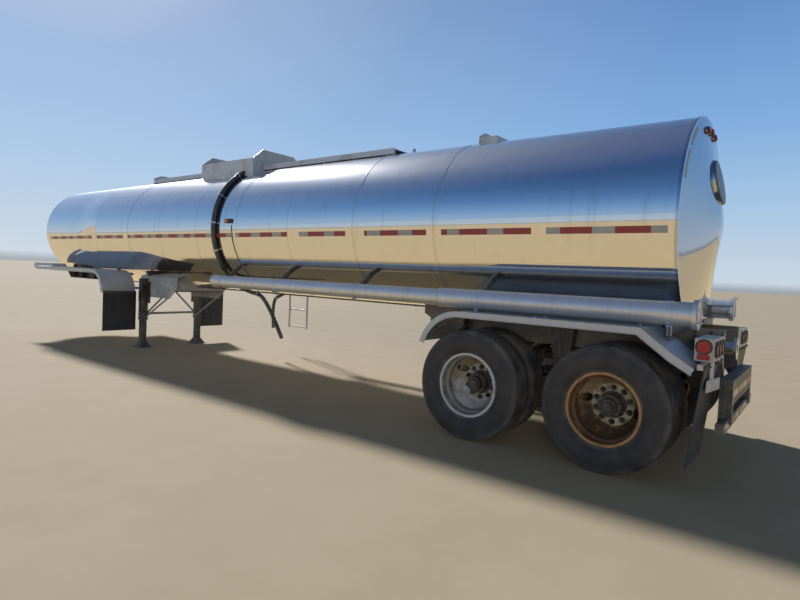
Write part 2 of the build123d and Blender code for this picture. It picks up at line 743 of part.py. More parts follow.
# Arms that carry the tubes: from the jacket ahead of the rails, from the rails at the rear end
arm_angle = degrees(atan2(barrel_centre_z - tube_z, -tube_side))
arm_length = hypot(barrel_centre_z - tube_z, tube_side) - barrel_radius
hinge_side = tube_side - door_hinge_offset
hinge_lug = 2 * tube_hinge_half
ring_z = 1117.0
ring_radius = 24.0
ring_hole = 14.0
tie_width = 8.0
rear_arm_low = tube_z - tube_rear_radius - 78.0
rear_arm_tall = 80.0
with BuildPart() as tube_brackets:
    for station in (rear_strap, *front_straps):
        strap_radius = (tube_rear_radius if station < tube_joint else tube_front_radius) + strap_height
        with BuildSketch(Plane.YZ.offset(at(station) - strap_width / 2)):
            if station == rear_strap:
                with Locations(((rail_web_side + tube_side) / 2, rear_arm_low + rear_arm_tall / 2)):
                    Rectangle(tube_side - rail_web_side, rear_arm_tall)
                with Locations(((hinge_side + tube_side - strap_radius) / 2, tube_z)):
                    Rectangle(tube_side - strap_radius - hinge_side + 14, hinge_lug)
                with Locations((hinge_side + 20, (rear_arm_low + tube_z) / 2)):
                    Rectangle(40, tube_z - rear_arm_low)
            else:
                with Locations(Location((tube_side, tube_z), arm_angle)):
                    with Locations((arm_length / 2 + 20, 0)):
                        Rectangle(arm_length + 40, arm_depth)
            with Locations((tube_side, tube_z)):
                Circle(strap_radius + seat_gap, mode=Mode.SUBTRACT)
        extrude(amount=strap_width)
    with BuildSketch(Plane.XY.offset(tube_z - hinge_lug / 2)):
        with Locations((door_hinge_x, hinge_side)):
            Circle(door_pin_radius)
    extrude(amount=hinge_lug)
    for low in (tube_z - hinge_lug / 2, tube_z + hinge_lug / 2 - door_ear):
        with BuildSketch(Plane.XY.offset(low)):
            with Locations((door_hinge_x, hinge_side)):
                Circle(door_knuckle_radius)
            with Locations(((door_hinge_x + at(rear_strap)) / 2, hinge_side)):
                Rectangle(at(rear_strap) - door_hinge_x, 14)
        extrude(amount=door_ear)
    with BuildSketch(Plane.XZ.offset(-tube_side)):
        with Locations((at(rear_strap), (ring_z + tube_z - tube_rear_radius) / 2)):
            Rectangle(tie_width, tube_z - tube_rear_radius - ring_z - 20)
    extrude(amount=tie_width)
    with BuildSketch(Plane.XZ.offset(-tube_side)):
        with Locations((at(rear_strap), ring_z)):
            Circle(ring_radius)
            Circle(ring_hole, mode=Mode.SUBTRACT)
    extrude(amount=tie_width)
    with BuildSketch(Plane((0, tube_side, tube_z), x_dir=(1, 0, 0), z_dir=(0, -1, 0))):
        with Locations((at(rear_strap), (tube_rear_radius + strap_height + seat_gap) / 2)):
            Rectangle(strap_width, tube_rear_radius + strap_height + seat_gap)
    revolve(axis=Axis((0, tube_side, tube_z), (1, 0, 0)), mode=Mode.SUBTRACT)
    add(barrel_clear.part, mode=Mode.SUBTRACT)
    mirror(about=Plane.XZ)
tube_brackets.part.label = "tube_brackets"
export_step(tube_brackets.part, "parts/tube_brackets.step")


def arc_drop(run, fall):
    """Radius of the arc that leaves a level line and falls by fall over run."""
    return (run**2 + fall**2) / (2 * fall)


# Tandem fenders: bent sheet with a turned-down outer lip, one each side
fender_arc = arc_drop(fender_tip[0] - fender_flat_front, fender_top - fender_tip[1])


def fender_path(inset):
    """Side view of the fender sheet, moved inwards by inset."""
    arc = fender_arc - inset
    turn = degrees(asin((fender_tip[0] - fender_flat_front) / fender_arc))
    top = fender_top - inset
    start = (at(fender_flat_front), top)
    JernArc(start=start, tangent=(1, 0), radius=arc, arc_size=-turn)
    Polyline(
        start,
        (at(fender_knee[0]) + inset / 2, top),
        (at(fender_drop[0]) + inset / 2, fender_drop[1] - inset),
        (at(fender_tail[0]) + inset / 4, fender_tail[1] - inset),
    )


with BuildPart() as tandem_fenders:
    with BuildSketch(Plane.XZ.offset(-fender_inner)):
        with BuildLine() as sheet_line:
            fender_path(fender_sheet / 2)
        trace(sheet_line.line, line_width=fender_sheet)
    extrude(amount=-(fender_outer - fender_inner))
    with BuildSketch(Plane.XZ.offset(fender_sheet - fender_outer)):
        with BuildLine() as lip_line:
            fender_path(fender_lip / 2)
        trace(lip_line.line, line_width=fender_lip)
    extrude(amount=-fender_sheet)
    mirror(about=Plane.XZ)
tandem_fenders.part.label = "tandem_fenders"
export_step(tandem_fenders.part, "parts/tandem_fenders.step")

# Arms that carry the fenders from the subframe
with BuildPart() as fender_arms:
    for station in fender_arm_stations:
        with BuildSketch(Plane.XZ.offset(-rail_web_side)):
            with Locations((at(station), fender_top - fender_sheet - fender_arm_height / 2)):
                Rectangle(fender_arm_width, fender_arm_height)
        extrude(amount=-(fender_outer - fender_sheet - rail_web_side))
    mirror(about=Plane.XZ)
fender_arms.part.label = "fender_arms"
export_step(fender_arms.part, "parts/fender_arms.step")

# Front decks: a level sheet with a turned-up tip and a quarter-round fall, on outriggers
quarter_arc = arc_drop(quarter_start - quarter_end[0], deck_z - quarter_end[1])
outrigger_stations = (nose_station - 2810.0, nose_station - 1810.0, nose_station - 910.0)
outrigger_height = 56.0
outrigger_width = 50.0
quarter_bar_z = 1060.0
flap_sheet = 8.0
front_flap_x = quarter_end[0] - 38.0


def deck_path(inset):
    """Side view of the front deck and quarter fender, moved inwards by inset."""
    arc = quarter_arc - inset
    turn = degrees(asin((quarter_start - quarter_end[0]) / quarter_arc))
    start = (at(quarter_start), deck_z - inset)
    JernArc(start=start, tangent=(-1, 0), radius=arc, arc_size=turn)
    Polyline(start, (at(deck_bend), deck_z - inset), (at(deck_tip[0]) + inset / 2, deck_tip[1] - inset))


with BuildPart() as front_decks:
    with BuildSketch(Plane.XZ.offset(-deck_inner)):
        with BuildLine() as deck_line:
            deck_path(fender_sheet / 2)
        trace(deck_line.line, line_width=fender_sheet)
    extrude(amount=-(fender_outer - deck_inner))
    with BuildSketch(Plane.XZ.offset(fender_sheet - fender_outer)):
        with BuildLine() as deck_lip_line:
            deck_path(deck_lip / 2)
        trace(deck_lip_line.line, line_width=deck_lip)
    extrude(amount=-fender_sheet)
    for station in outrigger_stations:
        with BuildSketch(Plane.XZ.offset(-coupler_beam_side)):
            with Locations((at(station), deck_z - fender_sheet - outrigger_height / 2)):
                Rectangle(outrigger_width, outrigger_height)
        extrude(amount=-(fender_outer - fender_sheet - coupler_beam_side))
    with BuildSketch(Plane.XZ.offset(-(leg_side - leg_outer / 2))):
        with Locations((at(quarter_end[0]) + 15, quarter_bar_z)):
            Rectangle(40, 46)
    extrude(amount=-(fender_outer - fender_sheet - leg_side + leg_outer / 2))
    with BuildSketch(Plane.XZ.offset(-deck_inner)):
        with Locations(((at(quarter_end[0]) + at(front_flap_x) + flap_sheet) / 2, quarter_end[1])):
            Rectangle(quarter_end[0] - front_flap_x - flap_sheet, 40)
    extrude(amount=-(fender_outer - deck_inner))
    add(barrel_clear.part, mode=Mode.SUBTRACT)
    mirror(about=Plane.XZ)
front_decks.part.label = "front_decks"
export_step(front_decks.part, "parts/front_decks.step")

# Upper coupler: the bed plate with its turned-up nose, side beams, cross bolsters and kingpin
nose_rise = 150.0
nose_run = 190.0
bolster_stations = (coupler_rear + 70.0, kingpin_station, coupler_front - 70.0)
bolster_plate = 12.0
bolster_inset = 20.0
bed_top = coupler_bottom + coupler_plate
coupler_rise = (bed_top + barrel_centre_z) / 2
with BuildPart() as upper_coupler:
    with BuildSketch(Plane.XZ.offset(-coupler_half_width)):
        with BuildLine():
            Polyline(
                (at(coupler_rear), coupler_bottom),
                (at(coupler_front), coupler_bottom),
                (at(coupler_front + nose_run), coupler_bottom + nose_rise),
                (at(coupler_front + nose_run) - coupler_plate, bed_top + nose_rise),
                (at(coupler_front) - coupler_plate / 2, bed_top),
                (at(coupler_rear), bed_top),
                close=True,
            )
        make_face()
    extrude(amount=2 * coupler_half_width)
    for turn in (1, -1):
        with BuildSketch(Plane.YZ.offset(at(coupler_beam_rear))):
            with Locations((turn * (coupler_beam_side - coupler_beam_width / 2), coupler_rise)):
                Rectangle(coupler_beam_width, 2 * (barrel_centre_z - coupler_rise))
        extrude(amount=coupler_front - coupler_beam_rear)
    for station in bolster_stations:
        with BuildSketch(Plane.YZ.offset(at(station) - bolster_plate / 2)):
            with Locations((0, coupler_rise)):
                Rectangle(2 * (coupler_half_width - bolster_inset), 2 * (barrel_centre_z - coupler_rise))
        extrude(amount=bolster_plate)
    add(barrel_clear.part, mode=Mode.SUBTRACT)
    king_x = at(kingpin_station)
    king_steps = (
        # radius, top height
        (kingpin_collar, coupler_bottom),
        (kingpin_neck, coupler_bottom - kingpin_shoulder_height),
        (kingpin_collar, coupler_bottom - kingpin_shoulder_height - kingpin_neck_height),
    )
    king_heights = (kingpin_shoulder_height, kingpin_neck_height, kingpin_collar_height)
    for (radius, top), height in zip(king_steps, king_heights):
        with BuildSketch(Plane.XY.offset(top - height)):
            with Locations((king_x, 0)):
                Circle(radius)
        extrude(amount=height)
upper_coupler.part.label = "upper_coupler"
export_step(upper_coupler.part, "parts/upper_coupler.step")

# Mud flaps: one pair behind the quarter fenders, one pair behind the rear tyres
rear_flap_top = (-690.0, 958.0)
rear_flap_foot = (-604.0, 190.0)
front_flap_foot = 310.0
flap_bar = 40.0
with BuildPart() as mud_flaps:
    with BuildSketch(Plane.XZ.offset(-deck_inner)):
        with Locations((at(front_flap_x) + flap_sheet / 2, (front_flap_foot + quarter_end[1] + 20) / 2)):
            Rectangle(flap_sheet, quarter_end[1] + 20 - front_flap_foot)
    extrude(amount=-(fender_outer - deck_inner))
    with BuildSketch(Plane.XZ.offset(-deck_inner)):
        with BuildLine():
            Polyline(
                (at(rear_flap_top[0]), rear_flap_top[1]),
                (at(rear_flap_top[0]), rear_flap_top[1] - flap_bar),
                (at(rear_flap_foot[0]), rear_flap_foot[1]),
                (at(rear_flap_foot[0]) - flap_sheet, rear_flap_foot[1]),
                (at(rear_flap_top[0]) - flap_sheet, rear_flap_top[1] - flap_bar),
                (at(rear_flap_top[0]) - flap_sheet, rear_flap_top[1]),
                close=True,
            )
        make_face()
    extrude(amount=-(fender_outer - deck_inner))
    mirror(about=Plane.XZ)
mud_flaps.part.label = "mud_flaps"
export_step(mud_flaps.part, "parts/mud_flaps.step")

# Landing legs: outer and inner square tubes on flared shoes
with BuildPart() as landing_legs:
    with BuildSketch(Plane.XY.offset(leg_split)):
        with Locations((at(leg_station), leg_side)):
            Rectangle(leg_outer, leg_outer)
    extrude(amount=leg_top - leg_split)
    with BuildSketch(Plane.XZ.offset(leg_outer / 2 - leg_side)):
        with Locations((at(leg_station), leg_top - wing_drop - wing_height / 2)):
            Rectangle(wing_width, wing_height)
    extrude(amount=-wing_plate)
    with BuildSketch(Plane.XY.offset(shoe_top)):
        with Locations((at(leg_station), leg_side)):
            Rectangle(leg_inner, leg_inner)
    extrude(amount=leg_split - shoe_top)
    with BuildSketch(Plane.XY):
        with Locations((at(leg_station), leg_side)):
            Rectangle(shoe_width, shoe_width)
    extrude(amount=shoe_plate)
    with BuildSketch(Plane.XY.offset(shoe_plate)):
        with Locations((at(leg_station), leg_side)):
            Rectangle(shoe_width - 30, shoe_width - 30)
    with BuildSketch(Plane.XY.offset(shoe_top)):
        with Locations((at(leg_station), leg_side)):
            Rectangle(shoe_neck, shoe_neck)
    loft(ruled=True)
    mirror(about=Plane.XZ)
landing_legs.part.label = "landing_legs"
export_step(landing_legs.part, "parts/landing_legs.step")

# Landing frame: side plates, cross beam, bolsters under the jacket, cross tube and braces
plate_outer = leg_side - leg_outer / 2
side_plate_outline = (
    # station, height; the top runs into the jacket and is cut to its curve
    (leg_station - 1010.0, barrel_centre_z),
    (leg_station + 210.0, barrel_centre_z),
    (leg_station + 210.0, 1040.0),
    (leg_station + 90.0, 915.0),
    (leg_station - 765.0, 915.0),
    (leg_station - 1010.0, 1117.0),
)
cross_beam = (leg_station - 70.0, leg_station + 70.0, 1000.0, 1130.0)
frame_bolsters = (leg_station - 960.0, leg_station + 170.0)
bolster_low = 1070.0
brace_radius = 15.0
cross_tube_radius = 20.0
brace_low_z = 600.0
brace_top_side = 60.0
rear_brace_low_z = 540.0
rear_brace_foot = (leg_station - 710.0, 925.0)
with BuildPart() as landing_frame:
    with BuildSketch(Plane.XZ.offset(-plate_outer)):
        with BuildLine():
            Polyline(*[(at(station), height) for station, height in side_plate_outline], close=True)
        make_face()
    extrude(amount=side_plate)
    mirror(about=Plane.XZ)
    rear, front, low, high = cross_beam
    with BuildSketch(Plane.XZ.offset(side_plate - plate_outer)):
        with Locations((at((rear + front) / 2), (low + high) / 2)):
            Rectangle(front - rear, high - low)
    extrude(amount=2 * (plate_outer - side_plate))
    for station in frame_bolsters:
        with BuildSketch(Plane.YZ.offset(at(station) - side_plate / 2)):
            with Locations((0, (bolster_low + barrel_centre_z) / 2)):
                Rectangle(2 * (plate_outer - side_plate), barrel_centre_z - bolster_low)
        extrude(amount=side_plate)
    with BuildSketch(Plane.XZ.offset(-plate_outer)):
        with Locations((at(leg_station), cross_tube_z)):
            Circle(cross_tube_radius)
    extrude(amount=2 * plate_outer)
    for turn in (1, -1):
        cross_from = Vector(at(leg_station), turn * leg_side, brace_low_z - leg_outer / 2)
        cross_to = Vector(at(leg_station), turn * brace_top_side, cross_beam[2] + 20)
        back_from = Vector(at(leg_station), turn * (plate_outer + side_plate), rear_brace_low_z)
        back_to = Vector(at(rear_brace_foot[0]), turn * (plate_outer - side_plate / 2), rear_brace_foot[1])
        for start, end in ((cross_from, cross_to), (back_from, back_to)):
            with BuildSketch(Plane(start, z_dir=end - start)):
                Circle(brace_radius)
            extrude(amount=(end - start).length)
    add(barrel_clear.part, mode=Mode.SUBTRACT)
    add(landing_legs.part, mode=Mode.SUBTRACT)
landing_frame.part.label = "landing_frame"
export_step(landing_frame.part, "parts/landing_frame.step")

# Crank: cross shaft between the legs and the folded handle on the right
crank_z = 900.0
crank_shaft_radius = 12.0
crank_out = 735.0
crank_drop = 300.0
with BuildPart() as crank_handle:
    with BuildSketch(Plane.XZ.offset(leg_side + leg_outer / 2)):
        with Locations((at(leg_station), crank_z)):
            Circle(30)
    extrude(amount=40)
    with BuildLine():
        FilletPolyline(
            (at(leg_station), -leg_side - leg_outer / 2 - 30, crank_z),
            (at(leg_station), -crank_out, crank_z),
            (at(leg_station), -crank_out, crank_z - crank_drop),
            (at(leg_station), -crank_out - 130, crank_z - crank_drop),
            radius=30,
        )
    with BuildSketch(Plane.XZ.offset(leg_side + leg_outer / 2 + 30)):
        with Locations((at(leg_station), crank_z)):
            Circle(crank_shaft_radius)
    sweep()
crank_handle.part.label = "crank_handle"
export_step(crank_handle.part, "parts/crank_handle.step")

# Subframe: channel rails whose webs rise to the jacket, bolsters and cross members
subframe_bolsters = (-240.0, 622.5, 1950.0)
cross_members = (622.5, 2180.0)
cross_member_z = 1050.0
cross_member_height = 90.0
cross_member_length = 80.0
subframe_bolster_low = 1060.0
nose_cut_length = 350.0
nose_cut_height = 190.0
with BuildPart() as subframe:
    with BuildSketch(Plane.YZ.offset(at(rail_rear))):
        with Locations((rail_web_side - rail_web / 2, (rail_bottom + barrel_centre_z) / 2)):
            Rectangle(rail_web, barrel_centre_z - rail_bottom)
        with Locations(
            (rail_web_side - rail_flange / 2, rail_bottom + rail_web / 2),
            (rail_web_side - rail_flange / 2, rail_top - rail_web / 2),
        ):
            Rectangle(rail_flange, rail_web)
    extrude(amount=rail_front - rail_rear)
    with BuildSketch(Plane.XZ.offset(-rail_web_side)):
        with BuildLine():
            Polyline(
                (at(rail_rear), rail_top),
                (at(rail_rear), barrel_centre_z),
                (at(barrel_rear), barrel_centre_z),
                (at(barrel_rear), rail_top),
                close=True,
            )
        make_face()
        with BuildLine():
            Polyline(
                (at(rail_front - nose_cut_length), rail_bottom),
                (at(rail_front), rail_bottom),
                (at(rail_front), rail_bottom + nose_cut_height),
                close=True,
            )
        make_face()
    extrude(amount=rail_flange, mode=Mode.SUBTRACT)
    mirror(about=Plane.XZ)
    for station in subframe_bolsters:
        with BuildSketch(Plane.YZ.offset(at(station) - bolster_plate / 2)):
            with Locations((0, (subframe_bolster_low + barrel_centre_z) / 2)):
                Rectangle(2 * (rail_web_side - rail_web), barrel_centre_z - subframe_bolster_low)
        extrude(amount=bolster_plate)
    for station in cross_members:
        with BuildSketch(Plane.YZ.offset(at(station) - cross_member_length / 2)):
            with Locations((0, cross_member_z)):
                Rectangle(2 * (rail_web_side - rail_web), cross_member_height)
        extrude(amount=cross_member_length)
    add(barrel_clear.part, mode=Mode.SUBTRACT)
subframe.part.label = "subframe"
export_step(subframe.part, "parts/subframe.step")

# Suspension: hangers, leaf packs, equalisers and radius rods, one set each side
spring_top = 742.0
spring_seat_z = 648.0
leaf_pack = 38.0
hanger_half_width = 50.0
hanger_top = rail_top - 90.0
equaliser_reach = 150.0
rod_radius = 19.0
rod_eye_radius = 32.0
rod_hanger_z = 640.0
rod_axle_z = 600.0
rod_axle_gap = 44.0
hanger_table = (
    # station, top length, foot length, foot height
    (axle_spacing + 545.0, 170.0, 110.0, 690.0),
    (axle_spacing / 2, 230.0, 130.0, 690.0),
    (-545.0, 170.0, 110.0, 690.0),
)
with BuildPart() as suspension:
    for station, top_length, foot_length, foot in hanger_table:
        with BuildSketch(Plane.XZ.offset(-rail_web_side)):
            with BuildLine():
                Polyline(
                    (at(station) - top_length / 2, hanger_top),
                    (at(station) + top_length / 2, hanger_top),
                    (at(station) + foot_length / 2, foot),
                    (at(station) - foot_length / 2, foot),
                    close=True,
                )
            make_face()
        extrude(amount=-2 * hanger_half_width)
    for station, inner in ((axle_spacing, -1), (0.0, 1)):
        outer_x = at(station) - inner * 545.0
        inner_x = at(axle_spacing / 2) - inner * equaliser_reach
        with BuildSketch(Plane.XZ.offset(-(spring_side - spring_half_width))):
            with BuildLine() as leaf_line:
                ThreePointArc(
                    (outer_x, spring_top),
                    (at(station), spring_seat_z + seat_gap + leaf_pack / 2),
                    (inner_x, spring_top - 30),
                )
            trace(leaf_line.line, line_width=leaf_pack)
        extrude(amount=-2 * spring_half_width)
    with BuildSketch(Plane.XZ.offset(-(spring_side - spring_half_width))):
        with Locations((at(axle_spacing / 2), spring_top)):
            Rectangle(2 * equaliser_reach + 60, 60)
    extrude(amount=-2 * spring_half_width)
    for station in (axle_spacing, 0.0):
        rod_from = Vector(at(station) + 520.0, spring_side, rod_hanger_z)
        rod_to = Vector(at(station) + axle_radius + rod_axle_gap, spring_side, rod_axle_z)
        with BuildSketch(Plane(rod_from, z_dir=rod_to - rod_from)):
            Circle(rod_radius)
        extrude(amount=(rod_to - rod_from).length)
        with BuildSketch(Plane.XZ.offset(-(spring_side - 30))):
            with Locations((rod_to.X, rod_axle_z)):
                Circle(rod_eye_radius)
            with Locations((rod_from.X, rod_hanger_z)):
                Circle(rod_eye_radius)
            with Locations((rod_from.X + 12, rod_hanger_z + 50)):
                Rectangle(60, 100)
        extrude(amount=-60)
    mirror(about=Plane.XZ)
suspension.part.label = "suspension"
export_step(suspension.part, "parts/suspension.step")

# Axles: beam, spring seats, brake spiders with dust shields, spindles, brake chambers and cam tubes
drum_mouth = dual_centre - rim_sheet - hub_flange - drum_width
drum_shoulder = dual_centre - drum_shoulder_depth
shield_radius = drum_radius - 6.0
shield_thickness = 12.0
shield_gap = 8.0
shield_outer = drum_mouth - shield_gap
chamber_radius = 80.0
chamber_length = 150.0
chamber_side = 250.0
chamber_z = axle_z + 60.0
for name, station in (("front", axle_spacing), ("rear", 0.0)):
    with BuildPart() as axle:
        with BuildSketch(Plane.XZ.offset(-shield_outer)):
            with Locations((at(station), axle_z)):
                Circle(axle_radius)
        extrude(amount=2 * shield_outer)
        for turn in (1, -1):
            with BuildSketch(Plane.XZ.offset(-turn * shield_outer)):
                with Locations((at(station), axle_z)):
                    Circle(shield_radius)
            extrude(amount=turn * shield_thickness)
            with BuildSketch(Plane.XZ.offset(-turn * shield_outer)):
                with Locations((at(station), axle_z)):
                    Circle(spindle_radius - fit_gap)
            extrude(amount=-turn * (dual_centre + hub_reach - 30 - shield_outer))
            with BuildSketch(Plane.XZ.offset(-turn * spring_side - 60)):
                with Locations((at(station), (axle_z + spring_seat_z) / 2)):
                    Rectangle(150, spring_seat_z - axle_z)
            extrude(amount=120)
            with BuildSketch(Plane.YZ.offset(at(station) - 110 - chamber_length)):
                with Locations((turn * chamber_side, chamber_z)):
                    Circle(chamber_radius)
            extrude(amount=chamber_length)
            with BuildSketch(Plane.XZ.offset(-turn * chamber_side - 20)):
                with Locations((at(station) - 70, chamber_z - 15)):
                    Rectangle(100, 60)
            extrude(amount=40)
            with BuildSketch(Plane.XZ.offset(-turn * shield_outer)):
                with Locations((at(station) - 95, axle_z + 40)):
                    Circle(18)
            extrude(amount=turn * (shield_outer - chamber_side))
    axle.part.label = f"axle_{name}"
    export_step(axle.part, f"parts/axle_{name}.step")

# Dual wheels: each corner has two tyres, a pair of disc wheels and a hub with its drum
corner_table = (
    # name, station, side, turn of the hand holes above forward
    ("front_left", axle_spacing, 1, 33.0),
    ("front_right", axle_spacing, -1, 72.0),
    ("rear_left", 0.0, 1, 10.0),
    ("rear_right", 0.0, -1, 128.0),
)
hand_hole_reach = 300.0
rim_outline = (
    # distance from the middle of the wheel's width towards the dual centre, radius
    (rim_half_width + rim_sheet, rim_flange_radius),
    (rim_half_width, rim_flange_radius),
    (rim_half_width, bead_seat_radius),
    (66.0, 283.0),
    (51.0, rim_inside_radius + rim_sheet),
    (-19.0, rim_inside_radius + rim_sheet),
    (-34.0, 283.0),
    (-rim_half_width, bead_seat_radius),
    (-rim_half_width, rim_flange_radius),
    (-rim_half_width - rim_sheet, rim_flange_radius),
    (-rim_half_width - rim_sheet, bead_seat_radius - rim_sheet),
    (-41.0, 272.0),
    (-26.0, rim_inside_radius),
    (58.0, rim_inside_radius),
    (73.0, 272.0),
    (rim_half_width + rim_sheet, bead_seat_radius - rim_sheet),
)
disc_outline = (
    # distance from the dual centre, radius
    (0.0, wheel_bore),
    (rim_sheet, wheel_bore),
    (rim_sheet, mount_disc_radius),
    (34.0, 196.0),
    (152.0, rim_inside_radius + 4),
    (136.0, rim_inside_radius + 4),
    (22.0, 203.0),
    (0.0, mount_disc_radius + 12),
)
bead_half_width = rim_half_width - fit_gap
bead_radius = bead_seat_radius + fit_gap + 0.4
for corner, station, turn, hole_turn in corner_table:
    axle_line = Axis((at(station), 0, axle_z), (0, 1, 0))
    wheel_view = Plane((at(station), 0, axle_z), x_dir=(0, turn, 0), z_dir=(turn, 0, 0))

    with BuildPart() as tyres:
        for middle in (dual_centre + dual_offset, dual_centre - dual_offset):
            with BuildSketch(wheel_view):
                with BuildLine():
                    Polyline(
                        (middle - bead_half_width, 300.5),
                        (middle - bead_half_width, bead_radius),
                        (middle + bead_half_width, bead_radius),
                        (middle + bead_half_width, 300.5),
                    )
                    ThreePointArc(
                        (middle + bead_half_width, 300.5),
                        (middle + tyre_half_width, 400.0),
                        (middle + tread_half_width + 12, tyre_radius - 22),
                    )
                    Polyline(
                        (middle + tread_half_width + 12, tyre_radius - 22),
                        (middle + tread_half_width, tyre_radius - 4),
                        (middle + tread_half_width / 2, tyre_radius),
                        (middle - tread_half_width / 2, tyre_radius),
                        (middle - tread_half_width, tyre_radius - 4),
                        (middle - tread_half_width - 12, tyre_radius - 22),
                    )
                    ThreePointArc(
                        (middle - tread_half_width - 12, tyre_radius - 22),
                        (middle - tyre_half_width, 400.0),
                        (middle - bead_half_width, 300.5),
                    )
                make_face()
            revolve(axis=axle_line)
    tyres.part.label = f"tyres_{corner}"
    export_step(tyres.part, f"parts/tyres_{corner}.step")

    with BuildPart() as rims:
        for lean in (1, -1):
            with BuildSketch(wheel_view):
                with BuildLine():
                    Polyline(
                        *[(dual_centre + lean * (dual_offset - offset), radius) for offset, radius in rim_outline],
                        close=True,
                    )
                make_face()
                with BuildLine():
                    Polyline(
                        *[(dual_centre + lean * offset, radius) for offset, radius in disc_outline], close=True
                    )
                make_face()
            revolve(axis=axle_line)
        hole_plane = Plane((at(station), 0, axle_z), x_dir=(1, 0, 0), z_dir=(0, turn, 0))
        with BuildSketch(hole_plane.offset(dual_centre - hand_hole_reach)):
            with PolarLocations(hand_hole_circle, 2, start_angle=-turn * hole_turn):
                Circle(hand_hole_radius)
        extrude(amount=2 * hand_hole_reach, mode=Mode.SUBTRACT)
    rims.part.label = f"rims_{corner}"
    export_step(rims.part, f"parts/rims_{corner}.step")

    with BuildPart() as hub:
        with BuildSketch(wheel_view):
            with BuildLine():
                flange_face = dual_centre - rim_sheet
                Polyline(
                    (flange_face - 3 * hub_flange, spindle_radius),
                    (flange_face - 3 * hub_flange, hub_face_radius),
                    (flange_face - hub_flange, hub_face_radius),
                    (flange_face - hub_flange, hub_flange_radius - 10),
                    (drum_shoulder - drum_wall, drum_radius - drum_wall),
                    (drum_mouth, drum_radius - drum_wall),
                    (drum_mouth, drum_radius),
                    (drum_shoulder, drum_radius),
                    (flange_face - 6, hub_flange_radius),
                    (flange_face, hub_flange_radius),
                    (flange_face, hub_pilot_radius),
                    (dual_centre + 2 * rim_sheet, hub_pilot_radius),
                    (dual_centre + 3 * rim_sheet, hub_face_radius),
                    (dual_centre + hub_reach, hub_face_radius),
                    (dual_centre + hub_reach, hub_cap_radius),
                    (dual_centre + hub_cap_reach, hub_cap_radius - 6),
                    (dual_centre + hub_cap_reach, oil_cap_radius),
                    (dual_centre + oil_cap_reach, oil_cap_radius),
                    (dual_centre + oil_cap_reach, 0),
                    (dual_centre + hub_reach, 0),
                    (dual_centre + hub_reach, spindle_radius),
                    close=True,
                )
            make_face()
        revolve(axis=axle_line)
    hub.part.label = f"hub_{corner}"
    export_step(hub.part, f"parts/hub_{corner}.step")

# Air tank under the middle cross member, with its straps
air_tank_radius = 105.0
air_tank_half_length = 310.0
air_tank_z = 880.0
air_tank_strap = 60.0
subframe_low = cross_member_z - cross_member_height / 2
with BuildPart() as air_tank:
    with BuildSketch(Plane.XZ.offset(-air_tank_half_length)):
        with Locations((at(axle_spacing / 2), air_tank_z)):
            Circle(air_tank_radius)
    extrude(amount=2 * air_tank_half_length)
    fillet(air_tank.edges().filter_by(GeomType.CIRCLE), 35)
    for side in (-190.0, 190.0):
        with BuildSketch(Plane.XZ.offset(side - 20)):
            with Locations((at(axle_spacing / 2), air_tank_z)):
                Circle(air_tank_radius + 4)
            with Locations((at(axle_spacing / 2), (air_tank_z + subframe_low) / 2)):
                Rectangle(air_tank_strap, subframe_low - air_tank_z)
        extrude(amount=40)
air_tank.part.label = "air_tank"
export_step(air_tank.part, "parts/air_tank.step")

# Discharge outlet: sump under the tank, elbow run to the rear, valve body and bolted flange
valve_rear = -640.0
valve_radius = 78.0
valve_length = 90.0
with BuildPart() as outlet:
    with BuildSketch(Plane.XY.offset(outlet_z)):
        with Locations((at(outlet_drop_station), 0)):
            Circle(95)
    extrude(amount=barrel_under(0) + 40 - outlet_z)
    with BuildSketch(Plane.XY.offset(outlet_z - 62)):
        with Locations((at(outlet_drop_station), 0)):
            Circle(70)
    extrude(amount=62)
    with BuildSketch(Plane.YZ.offset(at(outlet_face))):
        with Locations((0, outlet_z)):
            Circle(outlet_pipe_radius)
    extrude(amount=outlet_drop_station - outlet_face)
    with BuildSketch(Plane.YZ.offset(at(outlet_face))):
        with Locations((0, outlet_z)):
            Circle(outlet_flange_radius)
    extrude(amount=outlet_flange)
    with BuildSketch(Plane.YZ.offset(at(valve_rear))):
        with Locations((0, outlet_z)):
            Circle(valve_radius)
    extrude(amount=valve_length)
    with BuildSketch(Plane.YZ.offset(at(outlet_face))):
        with Locations((0, outlet_z)):
            Circle(outlet_bore)
    extrude(amount=300, mode=Mode.SUBTRACT)
    with BuildSketch(Plane.YZ.offset(at(outlet_face))):
        with Locations((0, outlet_z)):
            with PolarLocations(outlet_bolt_circle / 2, 4, start_angle=45):
                Circle(outlet_bolt_radius)
    extrude(amount=outlet_flange, mode=Mode.SUBTRACT)
    add(barrel_clear.part, mode=Mode.SUBTRACT)
outlet.part.label = "outlet"
export_step(outlet.part, "parts/outlet.step")

# Light boxes each side of the rails, with flap bars below them
with BuildPart() as light_boxes:
    with BuildSketch(Plane.XZ.offset(-light_box_inner)):
        with Locations(
            (at((light_box_rear + light_box_front) / 2), (light_box_bottom + light_box_top) / 2)
        ):
            Rectangle(light_box_front - light_box_rear, light_box_top - light_box_bottom)
    extrude(amount=-(light_box_outer - light_box_inner))
    with BuildSketch(Plane.XZ.offset(-rail_web_side)):
        with Locations((at(light_box_rear + 40), (light_box_bottom + light_box_top) / 2)):
            Rectangle(70, light_box_top - light_box_bottom - 30)
    extrude(amount=-(light_box_inner - rail_web_side))
    with BuildSketch(Plane.XZ.offset(-rail_web_side)):
        with Locations((at(rear_flap_top[0]) + flap_bar / 2, light_box_bottom - flap_bar / 2)):
            Rectangle(flap_bar, flap_bar)
    extrude(amount=-(fender_outer - rail_web_side))
    mirror(about=Plane.XZ)
light_boxes.part.label = "light_boxes"
export_step(light_boxes.part, "parts/light_boxes.step")

